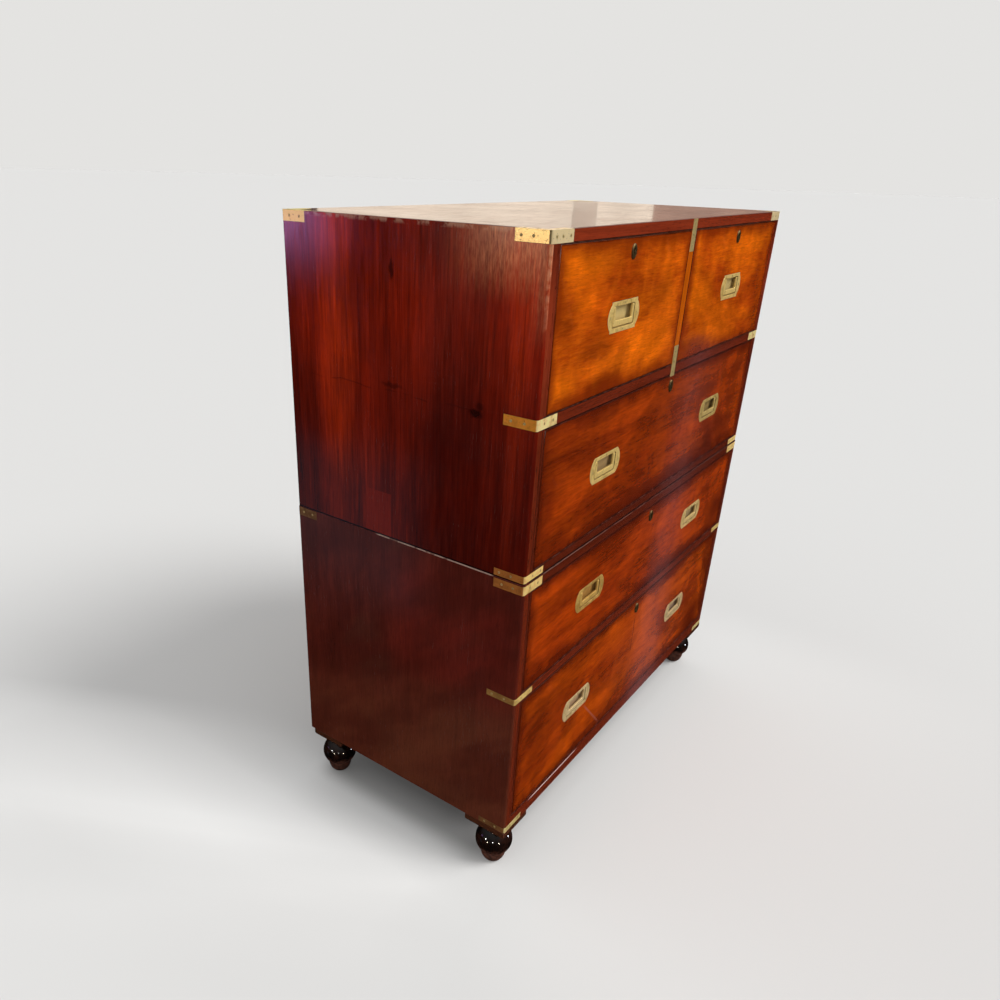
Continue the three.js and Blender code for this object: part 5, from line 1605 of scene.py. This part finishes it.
def camera():
    """The photograph's camera."""
    az, el, roll = (math.radians(v) for v in (CAMERA_AZIMUTH, CAMERA_ELEVATION, CAMERA_ROLL))
    back = Vector((math.sin(az) * math.cos(el), -math.cos(az) * math.cos(el), math.sin(el)))
    level = (-back).cross(Vector((0, 0, 1))).normalized()
    upright = level.cross(-back)
    right = math.cos(roll) * level + math.sin(roll) * upright
    up = math.cos(roll) * upright - math.sin(roll) * level
    data = bpy.data.cameras.new("camera")
    data.sensor_fit = "HORIZONTAL"
    data.sensor_width = CAMERA_SENSOR
    data.lens = CAMERA_LENS
    data.shift_x, data.shift_y = CAMERA_SHIFT
    data.clip_end = CAMERA_REACH
    made = linked("camera", data)
    made.matrix_world = Matrix.Translation(CAMERA_PLACE) @ Matrix((right, up, back)).transposed().to_4x4()
    return made


def sky():
    """A room that is light above and dark below."""
    world = bpy.data.worlds.new("studio_world")
    t = bare_tree(world)
    height = t.split(t.value("ShaderNodeTexCoord", output="Generated"))[2]
    shades = t.ramp(t.remap(height, -1.0, 1.0), SKY)
    light = t.value("ShaderNodeBackground", {"Color": shades, "Strength": 1.0})
    t.add("ShaderNodeOutputWorld", {"Surface": light})
    return world


def small_lamp(name, place, target, size, power, colour, lit):
    """A small lamp that lights only the pieces of one collection."""
    data = bpy.data.lights.new(name, "AREA")
    data.shape = "DISK"
    data.size, data.energy, data.color = size, power, colour
    lamp = linked(name, data)
    lamp.location = place
    lamp.rotation_euler = (target - place).to_track_quat("-Z", "Y").to_euler()
    lamp.visible_camera = lamp.visible_diffuse = False
    lamp.light_linking.receiver_collection = lit


# Corners in metres, colour, strength and soft border of the cards
CARDS = {
    "cream_wall": (((3.3, 4.0, 1.15), (9.66, 4.0, 1.15), (9.66, 4.0, 3.2), (3.3, 4.0, 3.2)),
                   (1.0, 0.86, 0.7), 1.07, 0.0),
    "window_bars": (((7.3, 3.95, 1.5), (7.9, 3.95, 1.5), (7.9, 3.95, 1.7), (7.3, 3.95, 1.7)),
                    (0.62, 0.42, 0.33), 0.55, 0.06),
    "grey_wall": (((9.66, 4.0, 1.15), (15.0, 4.0, 1.15), (15.0, 4.0, 3.2), (9.66, 4.0, 3.2)),
                  (0.62, 0.42, 0.33), 0.75, 0.0),
    "lamp_glow": (((-4.0, 1.2, 0.56), (-4.0, 2.35, 0.56), (-4.0, 2.35, 1.05), (-4.0, 1.2, 1.05)),
                  (1.0, 0.5, 0.3), 2.2, 0.22),
    "lamp": (((-3.98, 1.5, 0.8), (-3.98, 2.3, 0.8), (-3.98, 2.3, 1.05), (-3.98, 1.5, 1.05)),
             (1.0, 0.95, 0.75), 3.0, 0.02),
    "window_glow": (((-4.0, 3.6, 0.52), (-4.0, 5.2, 0.52), (-4.0, 5.2, 1.2), (-4.0, 3.6, 1.2)),
                    (0.75, 0.4, 1.0), 7.5, 0.25),
    "low_window_glow": (((-4.0, 2.6, -2.3), (-4.0, 5.0, -2.3), (-4.0, 5.0, -0.7), (-4.0, 2.6, -0.7)),
                        (0.5, 0.75, 1.0), 0.26, 0.35),
    "floor_glow": (((0.3, -0.29, -0.5), (0.3, -0.36, -0.5), (8.0, -3.05, -0.5), (8.0, -2.88, -0.5)),
                   (1.0, 0.7, 0.8), 0.22, 0.0),
}
BLACK = (0.0, 0.0, 0.0)
FAR_OFF = 9.0
FLOOR_REACH = 90.0
BACKDROP_REACH = 80.0
# Share of the floor's brightness that no shadow takes away, and more of it in front, where none shows
FLOOR_LIFT = 0.05
CLEAR_LIFT = 0.09
# The shadow's left edge on the floor: its direction outwards, and its distance from the middle
SHADOW_SIDE = (-0.884, -0.468)
SHADOW_REACH = 0.531
# Distance past that edge in metres, and the brightness given back there
SHADOW_EDGE = ((-0.4, 0.0), (-0.3, 0.14), (-0.2, 0.21), (-0.1, 0.28), (-0.03, 0.35), (0.01, 0.33),
               (0.05, 0.24), (0.1, 0.16), (0.16, 0.1), (0.3, 0.05), (0.6, 0.03))
# Brightness of the sky by height, from straight down at 0 to straight up at 1
SKY = [(0.0, 0.004), (0.49, 0.005), (0.52, 0.03), (0.57, 0.12), (0.7, 0.44), (0.85, 0.8), (1.0, 0.9)]
KEY_FROM = (0.41 * 0.72, -0.91 * 0.72, 0.7)
KEY_SOFTNESS = math.radians(28)
KEY_COLOUR = (1.0, 0.985, 0.96)
FOOT_GLINT_PLACE = Vector((-0.45, -0.206, 0.05))
# Small lamps that show in the feet's polish: direction from the front foot, distance, size, power, colour
GLINTS = (
    ((-0.915, 0.342, 0.215), 3.0, 0.14, 40.0, (1.0, 0.97, 0.95)),
    ((-0.998, 0.061, 0.019), 2.6, 0.12, 22.0, (1.0, 0.8, 0.6)),
    ((-0.468, -0.883, 0.028), 2.6, 0.12, 26.0, (1.0, 0.85, 0.7)),
    ((0.671, -0.73, -0.03), 3.0, 0.25, 30.0, (0.85, 0.9, 1.0)),
    ((-0.882, -0.445, 0.157), 3.0, 0.15, 30.0, (1.0, 0.97, 0.95)),
)


class CHEST_OT_studio(bpy.types.Operator):
    """Camera, floor, soft light and the cards that the polish reflects"""

    bl_idname = "chest.studio"
    bl_label = "Studio"

    def execute(self, context):
        settings = context.scene.chest_studio
        context.scene.camera = camera()
        studio_floor(settings)
        context.scene.world = sky()
        backdrop(tuple(settings.backdrop))
        sun = bpy.data.lights.new("key", "SUN")
        sun.energy, sun.angle, sun.color = settings.sun, KEY_SOFTNESS, KEY_COLOUR
        linked("key", sun).rotation_euler = (-Vector(KEY_FROM)).to_track_quat("-Z", "Y").to_euler()
        for name, values in CARDS.items():
            glowing_card(name, *values)
        lit = bpy.data.collections.new("lit_feet")
        for foot in FEET:
            lit.objects.link(bpy.data.objects[f"{foot}_turned"])
        for i, (direction, distance, *values) in enumerate(GLINTS):
            place = FOOT_GLINT_PLACE + Vector(direction) * distance
            small_lamp(f"lamp_{i}", place, FOOT_GLINT_PLACE, *values, lit)
        context.scene.view_settings.view_transform = "Standard"
        return {"FINISHED"}


class CHEST_PT_sidebar(bpy.types.Panel):
    """The chest's steps and settings"""

    bl_idname = "CHEST_PT_sidebar"
    bl_label = "Campaign chest"
    bl_space_type = "VIEW_3D"
    bl_region_type = "UI"
    bl_category = "Chest"

    def draw(self, context):
        for step in STEPS:
            self.layout.operator(step.bl_idname)
        for holder, settings in SETTINGS.items():
            column = self.layout.column()
            for name in settings.__annotations__:
                column.prop(getattr(context.scene, holder), name)


SETTINGS = {
    "chest_timber": ChestTimber,
    "chest_brass": ChestBrass,
    "chest_handle": ChestHandle,
    "chest_studio": ChestStudio,
}
STEPS = (CHEST_OT_cases, CHEST_OT_drawers, CHEST_OT_straps, CHEST_OT_handles, CHEST_OT_locks,
         CHEST_OT_screws, CHEST_OT_feet, CHEST_OT_studio)


def register():
    for holder, settings in SETTINGS.items():
        bpy.utils.register_class(settings)
        setattr(bpy.types.Scene, holder, bpy.props.PointerProperty(type=settings))
    for shown in (*STEPS, CHEST_PT_sidebar):
        bpy.utils.register_class(shown)


def unregister():
    for shown in reversed((*STEPS, CHEST_PT_sidebar)):
        bpy.utils.unregister_class(shown)
    for holder, settings in SETTINGS.items():
        delattr(bpy.types.Scene, holder)
        bpy.utils.unregister_class(settings)


def main():
    register()
    bpy.ops.chest.cases()
    bpy.ops.chest.drawers()
    bpy.ops.chest.straps()
    bpy.ops.chest.handles()
    bpy.ops.chest.locks()
    bpy.ops.chest.screws()
    bpy.ops.chest.feet()
    bpy.ops.chest.studio()


if __name__ == "__main__":
    main()
